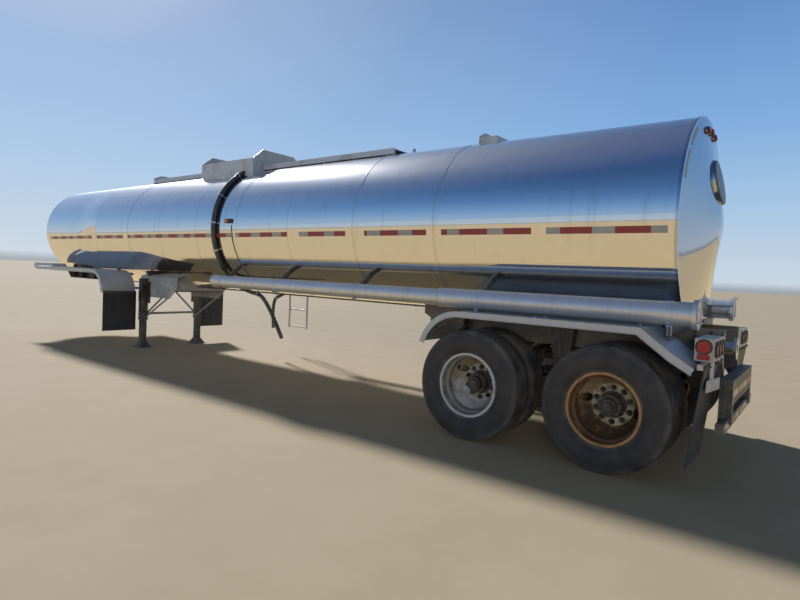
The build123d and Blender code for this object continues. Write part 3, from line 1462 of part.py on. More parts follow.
# Red lamps: round and oblong on the light boxes, round on the rear head
lamp_table = (
    # station of the middle, height, width, height of lens; a round lens has equal sizes
    (-651.0, 1074.0, 92.0, 92.0),
    (-651.0, 998.0, 84.0, 40.0),
)
rear_lamp_sides = (870.0, 735.0, 600.0)
rear_lamp_radius = 50.0
rear_lamp_z = 1052.0
lens_height = 10.0
with BuildPart() as red_lamps:
    for station, height, width, tall in lamp_table:
        with BuildSketch(Plane.XZ.offset(-light_box_outer)):
            with Locations((at(station), height)):
                if width == tall:
                    Circle(width / 2)
                else:
                    RectangleRounded(width, tall, 8)
        extrude(amount=-lens_height)
    for side in rear_lamp_sides:
        with BuildSketch(Plane.YZ.offset(at(light_box_rear))):
            with Locations((side, rear_lamp_z)):
                Circle(rear_lamp_radius)
        extrude(amount=-lens_height)
    mirror(about=Plane.XZ)
    for turn in head_lamp_turns:
        with BuildSketch(cone_plane(head_lamp_offset, turn, head_lamp_pad + head_lamp_housing_height)):
            Circle(head_lamp_lens_radius)
        extrude(amount=head_lamp_lens_height)
red_lamps.part.label = "red_lamps"
export_step(red_lamps.part, "parts/red_lamps.step")

# Black lamp housings: under the head lamps and behind the amber side lamps
side_lamp_station = 5370.0
side_lamp_z = 2157.0
side_lamp_width = 150.0
side_lamp_tall = 60.0
housing_depth = 22.0
housing_face = barrel_radius + housing_depth
with BuildPart() as lamp_housings:
    with BuildSketch(Plane.XZ.offset(-housing_face)):
        with Locations((at(side_lamp_station), side_lamp_z)):
            RectangleRounded(side_lamp_width, side_lamp_tall, 12)
    extrude(amount=2 * housing_depth)
    mirror(about=Plane.XZ)
    add(barrel_clear.part, mode=Mode.SUBTRACT)
    for turn in head_lamp_turns:
        with BuildSketch(cone_plane(head_lamp_offset, turn, head_lamp_pad)):
            Circle(head_lamp_housing_radius)
        extrude(amount=head_lamp_housing_height)
lamp_housings.part.label = "lamp_housings"
export_step(lamp_housings.part, "parts/lamp_housings.step")

with BuildPart() as amber_lamps:
    with BuildSketch(Plane.XZ.offset(-housing_face)):
        with Locations((at(side_lamp_station) + 30, side_lamp_z)):
            RectangleRounded(66, 44, 8)
    extrude(amount=-lens_height)
    mirror(about=Plane.XZ)
amber_lamps.part.label = "amber_lamps"
export_step(amber_lamps.part, "parts/amber_lamps.step")

# Rear guard: deep upper beam on gussets from the rails, posts and the lower bar
guard_rear = -rear_overhang
guard_front = guard_rear + guard_beam_depth
guard_beam_low = guard_beam_top - guard_beam_height
guard_bar_rear = guard_rear + guard_bar_step
with BuildPart() as rear_guard:
    with BuildSketch(Plane.XZ.offset(-guard_beam_half)):
        with Locations((at(guard_rear) + guard_beam_depth / 2, guard_beam_top - guard_beam_height / 2)):
            Rectangle(guard_beam_depth, guard_beam_height)
    extrude(amount=2 * guard_beam_half)
    with BuildSketch(Plane.XZ.offset(-guard_bar_half)):
        with Locations((at(guard_bar_rear) + guard_bar_depth / 2, guard_bar_z)):
            RectangleRounded(guard_bar_depth, guard_bar_height, 8)
    extrude(amount=2 * guard_bar_half)
    for turn in (1, -1):
        with BuildSketch(Plane.XY.offset(guard_bar_z)):
            with Locations(
                (at(guard_rear) + guard_beam_depth / 2, turn * (guard_beam_half - guard_post_width / 2))
            ):
                Rectangle(guard_beam_depth, guard_post_width)
        extrude(amount=guard_beam_low - guard_bar_z)
        with BuildSketch(Plane.XZ.offset(-turn * (rail_web_side - guard_gusset / 2) - guard_gusset / 2)):
            with BuildLine():
                Polyline(
                    (at(guard_front), guard_beam_low),
                    (at(guard_front), guard_beam_top),
                    (at(rail_rear), rail_bottom),
                    (at(rail_rear) + guard_gusset_reach, rail_bottom),
                    close=True,
                )
            make_face()
        extrude(amount=guard_gusset)
rear_guard.part.label = "rear_guard"
export_step(rear_guard.part, "parts/rear_guard.step")

# Blank plate on a strap below the left light box
plate_width = 300.0
plate_tall = 90.0
plate_sheet = 3.0
plate_yaw = 8.0
plate_middle = (-722.0, 962.0, 798.0)
strap_front = rear_flap_top[0] - flap_sheet - 2.0
with BuildPart() as blank_plate:
    plate_normal = (-cos(radians(plate_yaw)), sin(radians(plate_yaw)), 0)
    plate_origin = (at(plate_middle[0]), plate_middle[1], plate_middle[2])
    with BuildSketch(Plane(plate_origin, x_dir=(0, 0, 1), z_dir=plate_normal)):
        RectangleRounded(plate_tall, plate_width, 10)
    extrude(amount=plate_sheet)
    with BuildSketch(Plane.XY.offset(plate_middle[2])):
        with Locations((at((plate_middle[0] + strap_front) / 2), plate_middle[1])):
            Rectangle(strap_front - plate_middle[0], 30)
    extrude(amount=light_box_bottom - plate_middle[2])
blank_plate.part.label = "blank_plate"
export_step(blank_plate.part, "parts/blank_plate.step")

# Drain lines: from the spill box round each side of the jacket
drain_station = 5690.0
drain_line_radius = 33.0
drain_top_turn = 62.5
drain_end_turn = -36.0
drain_orbit = barrel_radius + drain_line_radius + 2 * seat_gap
drain_end = radians(drain_end_turn)
drain_end_side = drain_orbit * cos(drain_end)
drain_end_z = barrel_centre_z + drain_orbit * sin(drain_end)
with BuildPart() as drain_lines:
    with BuildLine(Plane.YZ.offset(at(drain_station))):
        CenterArc((0, barrel_centre_z), drain_orbit, drain_end_turn, drain_top_turn - drain_end_turn)
    with BuildSketch(
        Plane((at(drain_station), drain_end_side, drain_end_z), z_dir=(0, -sin(drain_end), cos(drain_end)))
    ):
        Circle(drain_line_radius)
    sweep()
    with Locations((at(drain_station), 0, barrel_top)):
        Box(4 * drain_line_radius, 2 * box_half_width, barrel_radius, mode=Mode.SUBTRACT)
    mirror(about=Plane.XZ)
drain_lines.part.label = "drain_lines"
export_step(drain_lines.part, "parts/drain_lines.step")

# Free ends of the drain hoses: limp, from the end of each line, through a hanger under the jacket
hose_radius = 27.0
hose_first_runs = {"left": 300.0, "right": 360.0}
hose_points = {
    # station, side, height
    "left": ((5290.0, 590.0, 1160.0), (4920.0, 600.0, 1128.0), (4558.0, 600.0, 571.0)),
    "right": ((5960.0, -590.0, 1090.0), (6262.0, -600.0, 985.0), (6195.0, -600.0, 500.0)),
}
hose_arc_share = 0.45
hanger_length = 30.0
hanger_wall = 6.0
hangers = {}
for name, turn in (("left", 1), ("right", -1)):
    points = [Vector(at(drain_station), turn * drain_end_side, drain_end_z)]
    points.append(points[0] + Vector(0, turn * sin(drain_end), -cos(drain_end)) * hose_first_runs[name])
    points += [Vector(at(station), side, height) for station, side, height in hose_points[name]]
    runs = [end - start for start, end in zip(points, points[1:])]
    radii = []
    for run, next_run in zip(runs, runs[1:]):
        shorter = min(run.length, next_run.length)
        radii.append(hose_arc_share * shorter / tan(radians(run.get_angle(next_run) / 2)))
    print("hose", name, "arc radii", [round(radius) for radius in radii])
    with BuildPart() as drain_hose:
        with BuildLine() as hose_path:
            FilletPolyline(*points, radius=radii)
        with BuildSketch(Plane(points[0], z_dir=runs[0])):
            Circle(hose_radius)
        sweep()
    expected = sum(edge.length for edge in hose_path.edges()) * pi * hose_radius**2
    print("hose", name, "volume over section times length", round(drain_hose.part.volume / expected, 4))
    drain_hose.part.label = f"drain_hose_{name}"
    export_step(drain_hose.part, f"parts/drain_hose_{name}.step")
    middle = (points[2] + points[3]) / 2
    hangers[name] = Plane(middle, x_dir=(0, 1 if runs[2].X > 0 else -1, 0), z_dir=runs[2])

# Hangers: a ring round each hose on a flat bar that drops from the jacket
with BuildPart() as hose_hangers:
    for name, hanger_plane in hangers.items():
        with BuildSketch(hanger_plane.offset(-hanger_length / 2)):
            rise = barrel_centre_z - hanger_plane.origin.Z
            with Locations((0, rise / 2)):
                Rectangle(2 * hanger_wall, rise)
            Circle(hose_radius + seat_gap + hanger_wall)
            Circle(hose_radius + seat_gap, mode=Mode.SUBTRACT)
        extrude(amount=hanger_length)
    add(barrel_clear.part, mode=Mode.SUBTRACT)
hose_hangers.part.label = "hose_hangers"
export_step(hose_hangers.part, "parts/hose_hangers.step")
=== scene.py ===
"""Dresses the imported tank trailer: a finish for every solid, and the small forms that ride on them."""

import logging
import math
from collections.abc import Callable, Mapping, Sequence
from dataclasses import dataclass
from enum import Enum

import bmesh
import bpy
from mathutils import Matrix, Vector


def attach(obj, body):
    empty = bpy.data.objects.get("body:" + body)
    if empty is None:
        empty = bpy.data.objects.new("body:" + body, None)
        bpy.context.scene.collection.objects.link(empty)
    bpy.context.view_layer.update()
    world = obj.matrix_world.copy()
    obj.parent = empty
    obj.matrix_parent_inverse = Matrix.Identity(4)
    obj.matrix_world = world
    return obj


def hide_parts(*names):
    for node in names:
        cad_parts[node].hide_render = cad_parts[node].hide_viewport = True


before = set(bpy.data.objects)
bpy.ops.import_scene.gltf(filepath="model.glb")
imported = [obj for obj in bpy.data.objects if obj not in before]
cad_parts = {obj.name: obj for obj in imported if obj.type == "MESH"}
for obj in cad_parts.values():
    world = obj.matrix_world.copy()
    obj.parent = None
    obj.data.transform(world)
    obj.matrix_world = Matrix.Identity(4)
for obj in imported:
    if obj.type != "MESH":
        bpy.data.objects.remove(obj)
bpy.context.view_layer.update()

LOG = logging.getLogger("trailer")

Colour = tuple[float, float, float, float]
Span = tuple[float, float]
Pairs = tuple[Span, ...]
Point = tuple[float, float, float]
Points = tuple[Point, ...]
Socket = bpy.types.NodeSocket
Inputs = dict[str, object]
Recipe = Callable[["Graph", Mapping[str, Socket]], Socket]

REAR_AXLE_X = -5.6475
AXLES = {"rear": 0.0, "front": 1.245}
AXLE_HEIGHT = 0.516
BARREL_Z = 2.082
BARREL_RADIUS = 0.936
TAPER_START = 9.9
FRONT_RING = 11.86
FRONT_TAPER = 0.038
FORWARD, BACK = Vector((1, 0, 0)), Vector((-1, 0, 0))
LEFTWARD = Vector((0, 1, 0))
UP, DOWN = Vector((0, 0, 1)), Vector((0, 0, -1))


def at(station: float) -> float:
    """X coordinate of a station, in metres forward of the rear axle."""
    return REAR_AXLE_X + station


def rgb(red: float, green: float, blue: float) -> Colour:
    """An opaque colour."""
    return (red, green, blue, 1.0)


def spot(station: float, across: float, height: float) -> Vector:
    """Point at a station, a distance to the left and a height."""
    return Vector((at(station), across, height))


def around(turn: float, radius: float) -> Span:
    """Side and height of a point by the jacket, at degrees above level and a radius from its axis."""
    angle = math.radians(turn)
    return radius * math.cos(angle), BARREL_Z + radius * math.sin(angle)


class Body(Enum):
    """The bodies that pieces ride on."""

    TRAILER = "trailer"
    LID = "manway_lid"
    DOOR_LEFT = "tube_door_left"
    DOOR_RIGHT = "tube_door_right"
    WHEELS_FRONT_LEFT = "wheels_front_left"
    WHEELS_FRONT_RIGHT = "wheels_front_right"
    WHEELS_REAR_LEFT = "wheels_rear_left"
    WHEELS_REAR_RIGHT = "wheels_rear_right"


class Side(Enum):
    """The two sides of the trailer, as signs of Y."""

    LEFT = 1
    RIGHT = -1

    @property
    def label(self) -> str:
        """The side's name as pieces have it."""
        return self.name.lower()

    @property
    def out(self) -> Vector:
        """Direction away from the middle plane."""
        return Vector((0, self.value, 0))

    def spot(self, station: float, reach: float, height: float) -> Vector:
        """Point at a station, a reach from the middle plane on this side and a height."""
        return spot(station, self.value * reach, height)


# Shader building


class Graph:
    """Adds nodes to one node tree and links them."""

    def __init__(self, tree: bpy.types.NodeTree) -> None:
        """Keeps the tree that nodes are added to."""
        self.tree = tree

    def feed(self, socket: Socket, value: object) -> None:
        """Links a socket to another, or sets its constant.

        Args:
            socket: The input to fill.
            value: An output socket, a number, a colour or a vector.
        """
        if isinstance(value, Socket):
            self.tree.links.new(value, socket)
        else:
            socket.default_value = value

    def add(self, kind: str, inputs: Inputs | None = None, **settings: object) -> bpy.types.Node:
        """Adds one node.

        Args:
            kind: The node's type name.
            inputs: Values or sockets by input name.
            **settings: Properties to set on the node first.

        Returns:
            The new node.
        """
        node = self.tree.nodes.new(kind)
        for name, value in settings.items():
            setattr(node, name, value)
        for name, value in (inputs or {}).items():
            self.feed(node.inputs[name], value)
        return node

    def maths(self, operation: str, *values: object, clamp: bool = False) -> Socket:
        """Result of a Math node.

        Args:
            operation: The node's operation.
            *values: Its inputs in order.
            clamp: Whether the result is kept from 0 to 1.

        Returns:
            The node's output.
        """
        node = self.add("ShaderNodeMath", operation=operation, use_clamp=clamp)
        for socket, value in zip(node.inputs, values):
            self.feed(socket, value)
        return node.outputs[0]

    def times(self, first: object, second: object) -> Socket:
        """First times second."""
        return self.maths("MULTIPLY", first, second)

    def plus(self, first: object, second: object) -> Socket:
        """First plus second."""
        return self.maths("ADD", first, second)

    def less(self, first: object, second: object) -> Socket:
        """First minus second."""
        return self.maths("SUBTRACT", first, second)

    def most(self, first: object, second: object) -> Socket:
        """The larger of two values."""
        return self.maths("MAXIMUM", first, second)

    def blend(self, factor: object, first: object, second: object) -> Socket:
        """Colour that goes from first to second with factor."""
        node = self.add("ShaderNodeMix", data_type="RGBA")
        for index, value in ((0, factor), (6, first), (7, second)):
            self.feed(node.inputs[index], value)
        return node.outputs[2]

    def step(
        self, value: object, low: object, high: object, to_low: float = 0.0, to_high: float = 1.0
    ) -> Socket:
        """Value eased from to_low at low to to_high at high."""
        inputs = {"Value": value, "From Min": low, "From Max": high, "To Min": to_low, "To Max": to_high}
        return self.add("ShaderNodeMapRange", inputs, interpolation_type="SMOOTHSTEP").outputs[0]

    def ramp(self, value: object, stops: Sequence[tuple[float, Colour]]) -> Socket:
        """Adds a colour ramp.

        Args:
            value: The place along it.
            stops: Positions and colours.

        Returns:
            The colour there.
        """
        node = self.add("ShaderNodeValToRGB", {"Fac": value})
        points = node.color_ramp.elements
        while len(points) < len(stops):
            points.new(1.0)
        for point, (position, colour) in zip(points, stops):
            point.position = position
            point.color = colour
        return node.outputs[0]

    def place(self) -> Socket:
        """Object coordinates."""
        return self.add("ShaderNodeTexCoord").outputs["Object"]

    def axes(self, vector: object) -> Sequence[Socket]:
        """X, Y and Z of a vector."""
        return self.add("ShaderNodeSeparateXYZ", {"Vector": vector}).outputs

    def scaled(self, x: object, y: object, z: object) -> Socket:
        """Object coordinates, each times its own scale."""
        axes = self.axes(self.place())
        inputs = {name: self.times(axes[name], scale) for name, scale in zip("XYZ", (x, y, z))}
        return self.add("ShaderNodeCombineXYZ", inputs).outputs[0]

    def noise(
        self, vector: object, scale: object, detail: float, roughness: float, distortion: float = 0.0
    ) -> Socket:
        """Adds a noise texture.

        Args:
            vector: Where it is read.
            scale: How fine it is.
            detail: How many finer layers it has.
            roughness: How much each finer layer counts.
            distortion: How far it is warped.

        Returns:
            Its value.
        """
        inputs = {
            "Vector": vector,
            "Scale": scale,
            "Detail": detail,
            "Roughness": roughness,
            "Distortion": distortion,
        }
        return self.add("ShaderNodeTexNoise", inputs).outputs[0]

    def bump(self, height: object, strength: float = 1.0) -> Socket:
        """Normal from a height in metres."""
        inputs = {"Strength": strength, "Distance": 1.0, "Height": height}
        return self.add("ShaderNodeBump", inputs).outputs[0]

    def shared(self, recipe: Recipe, **values: object) -> Socket:
        """Places the node group of a recipe, which is built the first time it is used.

        Args:
            recipe: Makes the group's result from its graph and its inputs.
            **values: The group's inputs by name.

        Returns:
            The group's result.
        """
        tree = bpy.data.node_groups.get(recipe.__name__)
        if tree is None:
            tree = bpy.data.node_groups.new(recipe.__name__, "ShaderNodeTree")
            for name in values:
                tree.interface.new_socket(name, in_out="INPUT", socket_type="NodeSocketFloat")
            tree.interface.new_socket("Value", in_out="OUTPUT", socket_type="NodeSocketFloat")
            inside = Graph(tree)
            given, made = inside.add("NodeGroupInput"), inside.add("NodeGroupOutput")
            inside.feed(made.inputs["Value"], recipe(inside, given.outputs))
        return self.add("ShaderNodeGroup", values, node_tree=tree).outputs["Value"]


# Node groups that several finishes share


def patch_mask(graph: Graph, given: Mapping[str, Socket]) -> Socket:
    """Irregular spots: Scale, and Low and High of the noise that they start and end at."""
    spots = graph.noise(graph.place(), given["Scale"], 7.0, 0.62, 0.3)
    return graph.step(spots, given["Low"], given["High"])


def run_mask(graph: Graph, given: Mapping[str, Socket]) -> Socket:
    """Marks that run downwards: Across and Down scales, and Low and High of the noise."""
    streaks = graph.noise(graph.scaled(given["Across"], given["Across"], given["Down"]), 1.0, 5.0, 0.6, 0.15)
    return graph.step(streaks, given["Low"], given["High"])


def dust_mask(graph: Graph, given: Mapping[str, Socket]) -> Socket:
    """Dust thrown up from the ground: thickest at Height minus Fade and gone at Height, broken at Scale."""
    place = graph.place()
    low = graph.less(given["Height"], given["Fade"])
    rise = graph.step(graph.axes(place)["Z"], low, given["Height"], 1.0, 0.0)
    cloud = graph.step(graph.noise(place, given["Scale"], 6.0, 0.65), 0.28, 0.72)
    return graph.times(rise, cloud)


def wave_field(graph: Graph, given: Mapping[str, Socket]) -> Socket:
    """Height of uneven sheet metal: Long and Short scales, with the Share of the short one."""
    place = graph.place()
    broad = graph.noise(place, given["Long"], 1.0, 0.4)
    fine = graph.times(graph.noise(place, given["Short"], 2.0, 0.5), given["Share"])
    return graph.plus(broad, fine)


def grain_field(graph: Graph, given: Mapping[str, Socket]) -> Socket:
    """Fine lines of a rolled or brushed surface: scales along X, Y and Z."""
    return graph.noise(graph.scaled(given["X"], given["Y"], given["Z"]), 1.0, 4.0, 0.6)


def axle_radius(graph: Graph, given: Mapping[str, Socket]) -> Socket:
    """Distance from a wheel's axis, which runs along Y through X and Z."""
    axes = graph.axes(graph.place())
    inputs = {name: graph.less(axes[name], given[name]) for name in "XZ"}
    flat = graph.add("ShaderNodeCombineXYZ", inputs).outputs[0]
    return graph.add("ShaderNodeVectorMath", {0: flat}, operation="LENGTH").outputs["Value"]


# Finishes


@dataclass(frozen=True)
class Finish:
    """A surface finish: its material's name and the record's slot it belongs to."""

    name: str
    slot: str

    def inputs(self, graph: Graph) -> Inputs:
        """Inputs of the Principled shader, by name."""
        raise NotImplementedError

    def material(self) -> bpy.types.Material:
        """The finish's material, built the first time.

        Returns:
            The material.
        """
        found = bpy.data.materials.get(self.name)
        if found:
            return found
        material = bpy.data.materials.new(self.name)
        material.use_nodes = True
        material.node_tree.nodes.clear()
        graph = Graph(material.node_tree)
        shader = graph.add("ShaderNodeBsdfPrincipled", self.inputs(graph))
        graph.add("ShaderNodeOutputMaterial", {"Surface": shader.outputs[0]})
        return material


@dataclass(frozen=True)
class PolishedSteel(Finish):
    """Mirror-polished sheet: seams, waves, fine rings, water marks and a dull film low down."""

    steel: Colour = rgb(0.68, 0.69, 0.70)
    film: Colour = rgb(0.50, 0.51, 0.52)
    stain: Colour = rgb(0.36, 0.33, 0.29)
    seams: tuple[float, ...] = (1.885, 3.011, 4.14, 6.20, 7.25, 8.301, 9.505)
    seam_edge: Span = (0.0015, 0.0065)
    seam_depth: float = 0.0005
    break_seam: float = 9.505
    pull_length: float = 0.85
    pull_edge: float = 0.004
    pull_heights: Span = (1.75, 2.35)
    pull_depths: Span = (-0.035, 0.035)
    top_film: Span = (2.62, 2.98)
    low_film: Span = (1.75, 1.25)
    wave_height: float = 0.0016
    gloss: float = 0.045
    haze: float = 0.16
    veil: float = 0.5
    veil_roughness: float = 0.36

    def _seams(self, graph: Graph, x: object) -> object:
        """Makes the mask of the thin lines where sheets meet.

        Args:
            graph: The material's graph.
            x: Place along the trailer.

        Returns:
            The mask.
        """
        mask: object = 0.0
        for station in self.seams:
            away = graph.maths("ABSOLUTE", graph.less(x, at(station)))
            mask = graph.most(mask, graph.step(away, *self.seam_edge, 1.0, 0.0))
        return mask

    def _pull(self, graph: Graph, x: object, z: object) -> object:
        """Makes the sheet's pull beside the seam where the front sheet starts.

        Args:
            graph: The material's graph.
            x: Place along the trailer.
            z: Height.

        Returns:
            The height of the pull.
        """
        seam = at(self.break_seam)
        fade = graph.step(x, seam, seam + self.pull_length, 1.0, 0.0)
        near = graph.times(fade, graph.step(x, seam - self.pull_edge, seam))
        return graph.times(near, graph.step(z, *self.pull_heights, *self.pull_depths))

    def inputs(self, graph: Graph) -> Inputs:
        """Builds the inputs of the Principled shader.

        Args:
            graph: The material's graph.

        Returns:
            Values and sockets by input name.
        """
        axes = graph.axes(graph.place())
        x, z = axes[0], axes[2]
        waves = graph.shared(wave_field, Long=0.55, Short=3.2, Share=0.12)
        rings = graph.shared(grain_field, X=26.0, Y=0.35, Z=0.35)
        fine = graph.shared(grain_field, X=220.0, Y=1.2, Z=1.2)
        top = graph.step(z, *self.top_film)
        scuffs = graph.shared(patch_mask, Scale=1.7, Low=0.56, High=0.70)
        runs = graph.shared(run_mask, Across=9.0, Down=0.45, Low=0.54, High=0.80)
        low = graph.step(z, *self.low_film)
        dull = graph.times(scuffs, graph.times(low, 0.7))
        dull = graph.most(dull, graph.times(top, graph.step(rings, 0.25, 0.75, 0.35, 1.0)))
        dull = graph.most(dull, graph.times(runs, 0.3))
        height = graph.times(waves, self.wave_height)
        height = graph.plus(height, graph.times(rings, 0.00012))
        height = graph.plus(height, graph.times(fine, 0.000012))
        colour = graph.blend(graph.times(dull, 0.8), self.steel, self.film)
        colour = graph.blend(graph.times(runs, 0.25), colour, self.stain)
        if self.seams:
            seam = self._seams(graph, x)
            colour = graph.blend(graph.times(seam, 0.7), colour, self.stain)
            dull = graph.most(dull, seam)
            height = graph.less(height, graph.times(seam, self.seam_depth))
            height = graph.plus(height, self._pull(graph, x, z))
        return {
            "Base Color": colour,
            "Metallic": 1.0,
            "Roughness": graph.plus(self.gloss, graph.times(dull, self.haze)),
            "Coat Weight": self.veil,
            "Coat Roughness": self.veil_roughness,
            "Normal": graph.bump(height),
        }


@dataclass(frozen=True)
class SatinAluminium(Finish):
    """Rolled aluminium sheet or tube: fine rings, water marks and grey film."""

    metal: Colour = rgb(0.60, 0.625, 0.655)
    stain: Colour = rgb(0.40, 0.41, 0.42)
    dust: Colour = rgb(0.56, 0.52, 0.46)
    gloss: float = 0.36
    mirror: float = 0.62
    dust_height: float = 1.25
    ring_scale: float = 150.0
    wave_height: float = 0.0006

    def inputs(self, graph: Graph) -> Inputs:
        """Builds the inputs of the Principled shader.

        Args:
            graph: The material's graph.

        Returns:
            Values and sockets by input name.
        """
        rings = graph.shared(grain_field, X=self.ring_scale, Y=1.6, Z=1.6)
        broad = graph.shared(grain_field, X=11.0, Y=0.8, Z=0.8)
        runs = graph.shared(run_mask, Across=22.0, Down=2.2, Low=0.5, High=0.8)
        dust = graph.shared(dust_mask, Height=self.dust_height, Fade=0.7, Scale=7.0)
        waves = graph.shared(wave_field, Long=1.6, Short=7.0, Share=0.2)
        stain = graph.times(runs, 0.5)
        colour = graph.blend(graph.step(broad, 0.3, 0.75, 0.0, 0.28), self.metal, self.stain)
        colour = graph.blend(stain, colour, self.stain)
        colour = graph.blend(graph.times(dust, 0.75), colour, self.dust)
        rough = graph.plus(self.gloss, graph.step(rings, 0.3, 0.7, 0.0, 0.12))
        rough = graph.plus(rough, graph.times(dust, 0.3))
        height = graph.times(waves, self.wave_height)
        height = graph.plus(height, graph.times(rings, 0.00004))
        return {
            "Base Color": colour,
            "Metallic": graph.step(dust, 0.0, 1.0, self.mirror, 0.2 * self.mirror),
            "Roughness": rough,
            "Normal": graph.bump(height),
        }


@dataclass(frozen=True)
class Paint(Finish):
    """Brushed or sprayed paint with dust, scuffs to primer and rust spots."""

    coat: Colour = rgb(0.03, 0.032, 0.036)
    worn: Colour = rgb(0.09, 0.085, 0.08)
    rust: Colour = rgb(0.20, 0.075, 0.03)
    dust: Colour = rgb(0.30, 0.27, 0.225)
    dust_height: float = 1.3
    dust_share: float = 0.55
    rust_low: float = 0.60
    gloss: float = 0.42

    def inputs(self, graph: Graph) -> Inputs:
        """Builds the inputs of the Principled shader.

        Args:
            graph: The material's graph.

        Returns:
            Values and sockets by input name.
        """
        wear = graph.shared(patch_mask, Scale=5.5, Low=0.48, High=0.66)
        rust = graph.shared(patch_mask, Scale=13.0, Low=self.rust_low, High=self.rust_low + 0.09)
        runs = graph.shared(run_mask, Across=30.0, Down=3.0, Low=0.56, High=0.75)
        dust = graph.shared(dust_mask, Height=self.dust_height, Fade=1.0, Scale=8.0)
        skin = graph.noise(graph.place(), 180.0, 3.0, 0.6)
        colour = graph.blend(graph.times(wear, 0.7), self.coat, self.worn)
        colour = graph.blend(graph.times(runs, 0.35), colour, self.dust)
        colour = graph.blend(graph.times(dust, self.dust_share), colour, self.dust)
        colour = graph.blend(rust, colour, self.rust)
        rough = graph.plus(self.gloss, graph.times(graph.most(rust, dust), 0.35))
        height = graph.plus(graph.times(skin, 0.00008), graph.times(rust, 0.0003))
        return {"Base Color": colour, "Metallic": 0.0, "Roughness": rough, "Normal": graph.bump(height)}


@dataclass(frozen=True)
class BareSteel(Finish):
    """Stainless or galvanised fittings, dull and slightly dusty."""

    metal: Colour = rgb(0.58, 0.585, 0.59)
    dirt: Colour = rgb(0.20, 0.18, 0.155)
    gloss: float = 0.33
    dirt_low: float = 0.48

    def inputs(self, graph: Graph) -> Inputs:
        """Builds the inputs of the Principled shader.

        Args:
            graph: The material's graph.

        Returns:
            Values and sockets by input name.
        """
        spots = graph.shared(patch_mask, Scale=9.0, Low=self.dirt_low, High=self.dirt_low + 0.2)
        grain = graph.shared(grain_field, X=60.0, Y=60.0, Z=4.0)
        colour = graph.blend(graph.times(spots, 0.75), self.metal, self.dirt)
        rough = graph.plus(self.gloss, graph.times(spots, 0.35))
        return {
            "Base Color": colour,
            "Metallic": graph.less(1.0, graph.times(spots, 0.6)),
            "Roughness": graph.plus(rough, graph.step(grain, 0.3, 0.7, -0.05, 0.07)),
            "Normal": graph.bump(graph.times(grain, 0.00006)),
        }


@dataclass(frozen=True)
class WheelPaint(Finish):
    """Painted disc wheel: flange, gutter and nut pad each in their own colour, the disc one colour low down
    and another high up, with grime and rust spots.
    """

    axle_x: float = 0.0
    flange: Colour = rgb(0.47, 0.50, 0.53)
    gutter: Colour = rgb(0.20, 0.19, 0.17)
    disc_high: Colour = rgb(0.30, 0.235, 0.15)
    disc_low: Colour = rgb(0.42, 0.43, 0.44)
    pad: Colour = rgb(0.33, 0.32, 0.29)
    grime: Colour = rgb(0.10, 0.08, 0.06)
    rust: Colour = rgb(0.36, 0.15, 0.05)
    grime_share: float = 0.5
    rust_low: float = 0.62
    disc_rise: Span = (0.44, 0.60)
    pad_edge: Span = (0.166, 0.180)
    gutter_edge: Span = (0.238, 0.256)
    flange_edge: Span = (0.268, 0.282)
    edge_shift: Span = (-0.010, 0.010)
    rise_shift: Span = (-0.09, 0.09)

    def inputs(self, graph: Graph) -> Inputs:
        """Builds the inputs of the Principled shader.

        Args:
            graph: The material's graph.

        Returns:
            Values and sockets by input name.
        """
        distance = graph.shared(axle_radius, X=self.axle_x, Z=AXLE_HEIGHT)
        cloud = graph.noise(graph.place(), 9.0, 6.0, 0.65)
        radius = graph.plus(distance, graph.step(cloud, 0.2, 0.8, *self.edge_shift))
        rise = graph.axes(graph.place())[2]
        rise = graph.plus(rise, graph.step(cloud, 0.2, 0.8, *self.rise_shift))
        colour = graph.blend(graph.step(rise, *self.disc_rise), self.disc_low, self.disc_high)
        colour = graph.blend(graph.step(radius, *self.pad_edge), self.pad, colour)
        colour = graph.blend(graph.step(radius, *self.gutter_edge), colour, self.gutter)
        colour = graph.blend(graph.step(radius, *self.flange_edge), colour, self.flange)
        stains = graph.times(graph.step(cloud, 0.42, 0.72), self.grime_share)
        specks = graph.shared(patch_mask, Scale=24.0, Low=self.rust_low, High=self.rust_low + 0.12)
        colour = graph.blend(stains, colour, self.grime)
        colour = graph.blend(specks, colour, self.rust)
        rough = graph.plus(0.40, graph.times(graph.most(stains, specks), 0.4))
        height = graph.times(graph.noise(graph.place(), 90.0, 4.0, 0.6), 0.00035)
        return {"Base Color": colour, "Metallic": 0.0, "Roughness": rough, "Normal": graph.bump(height, 0.7)}


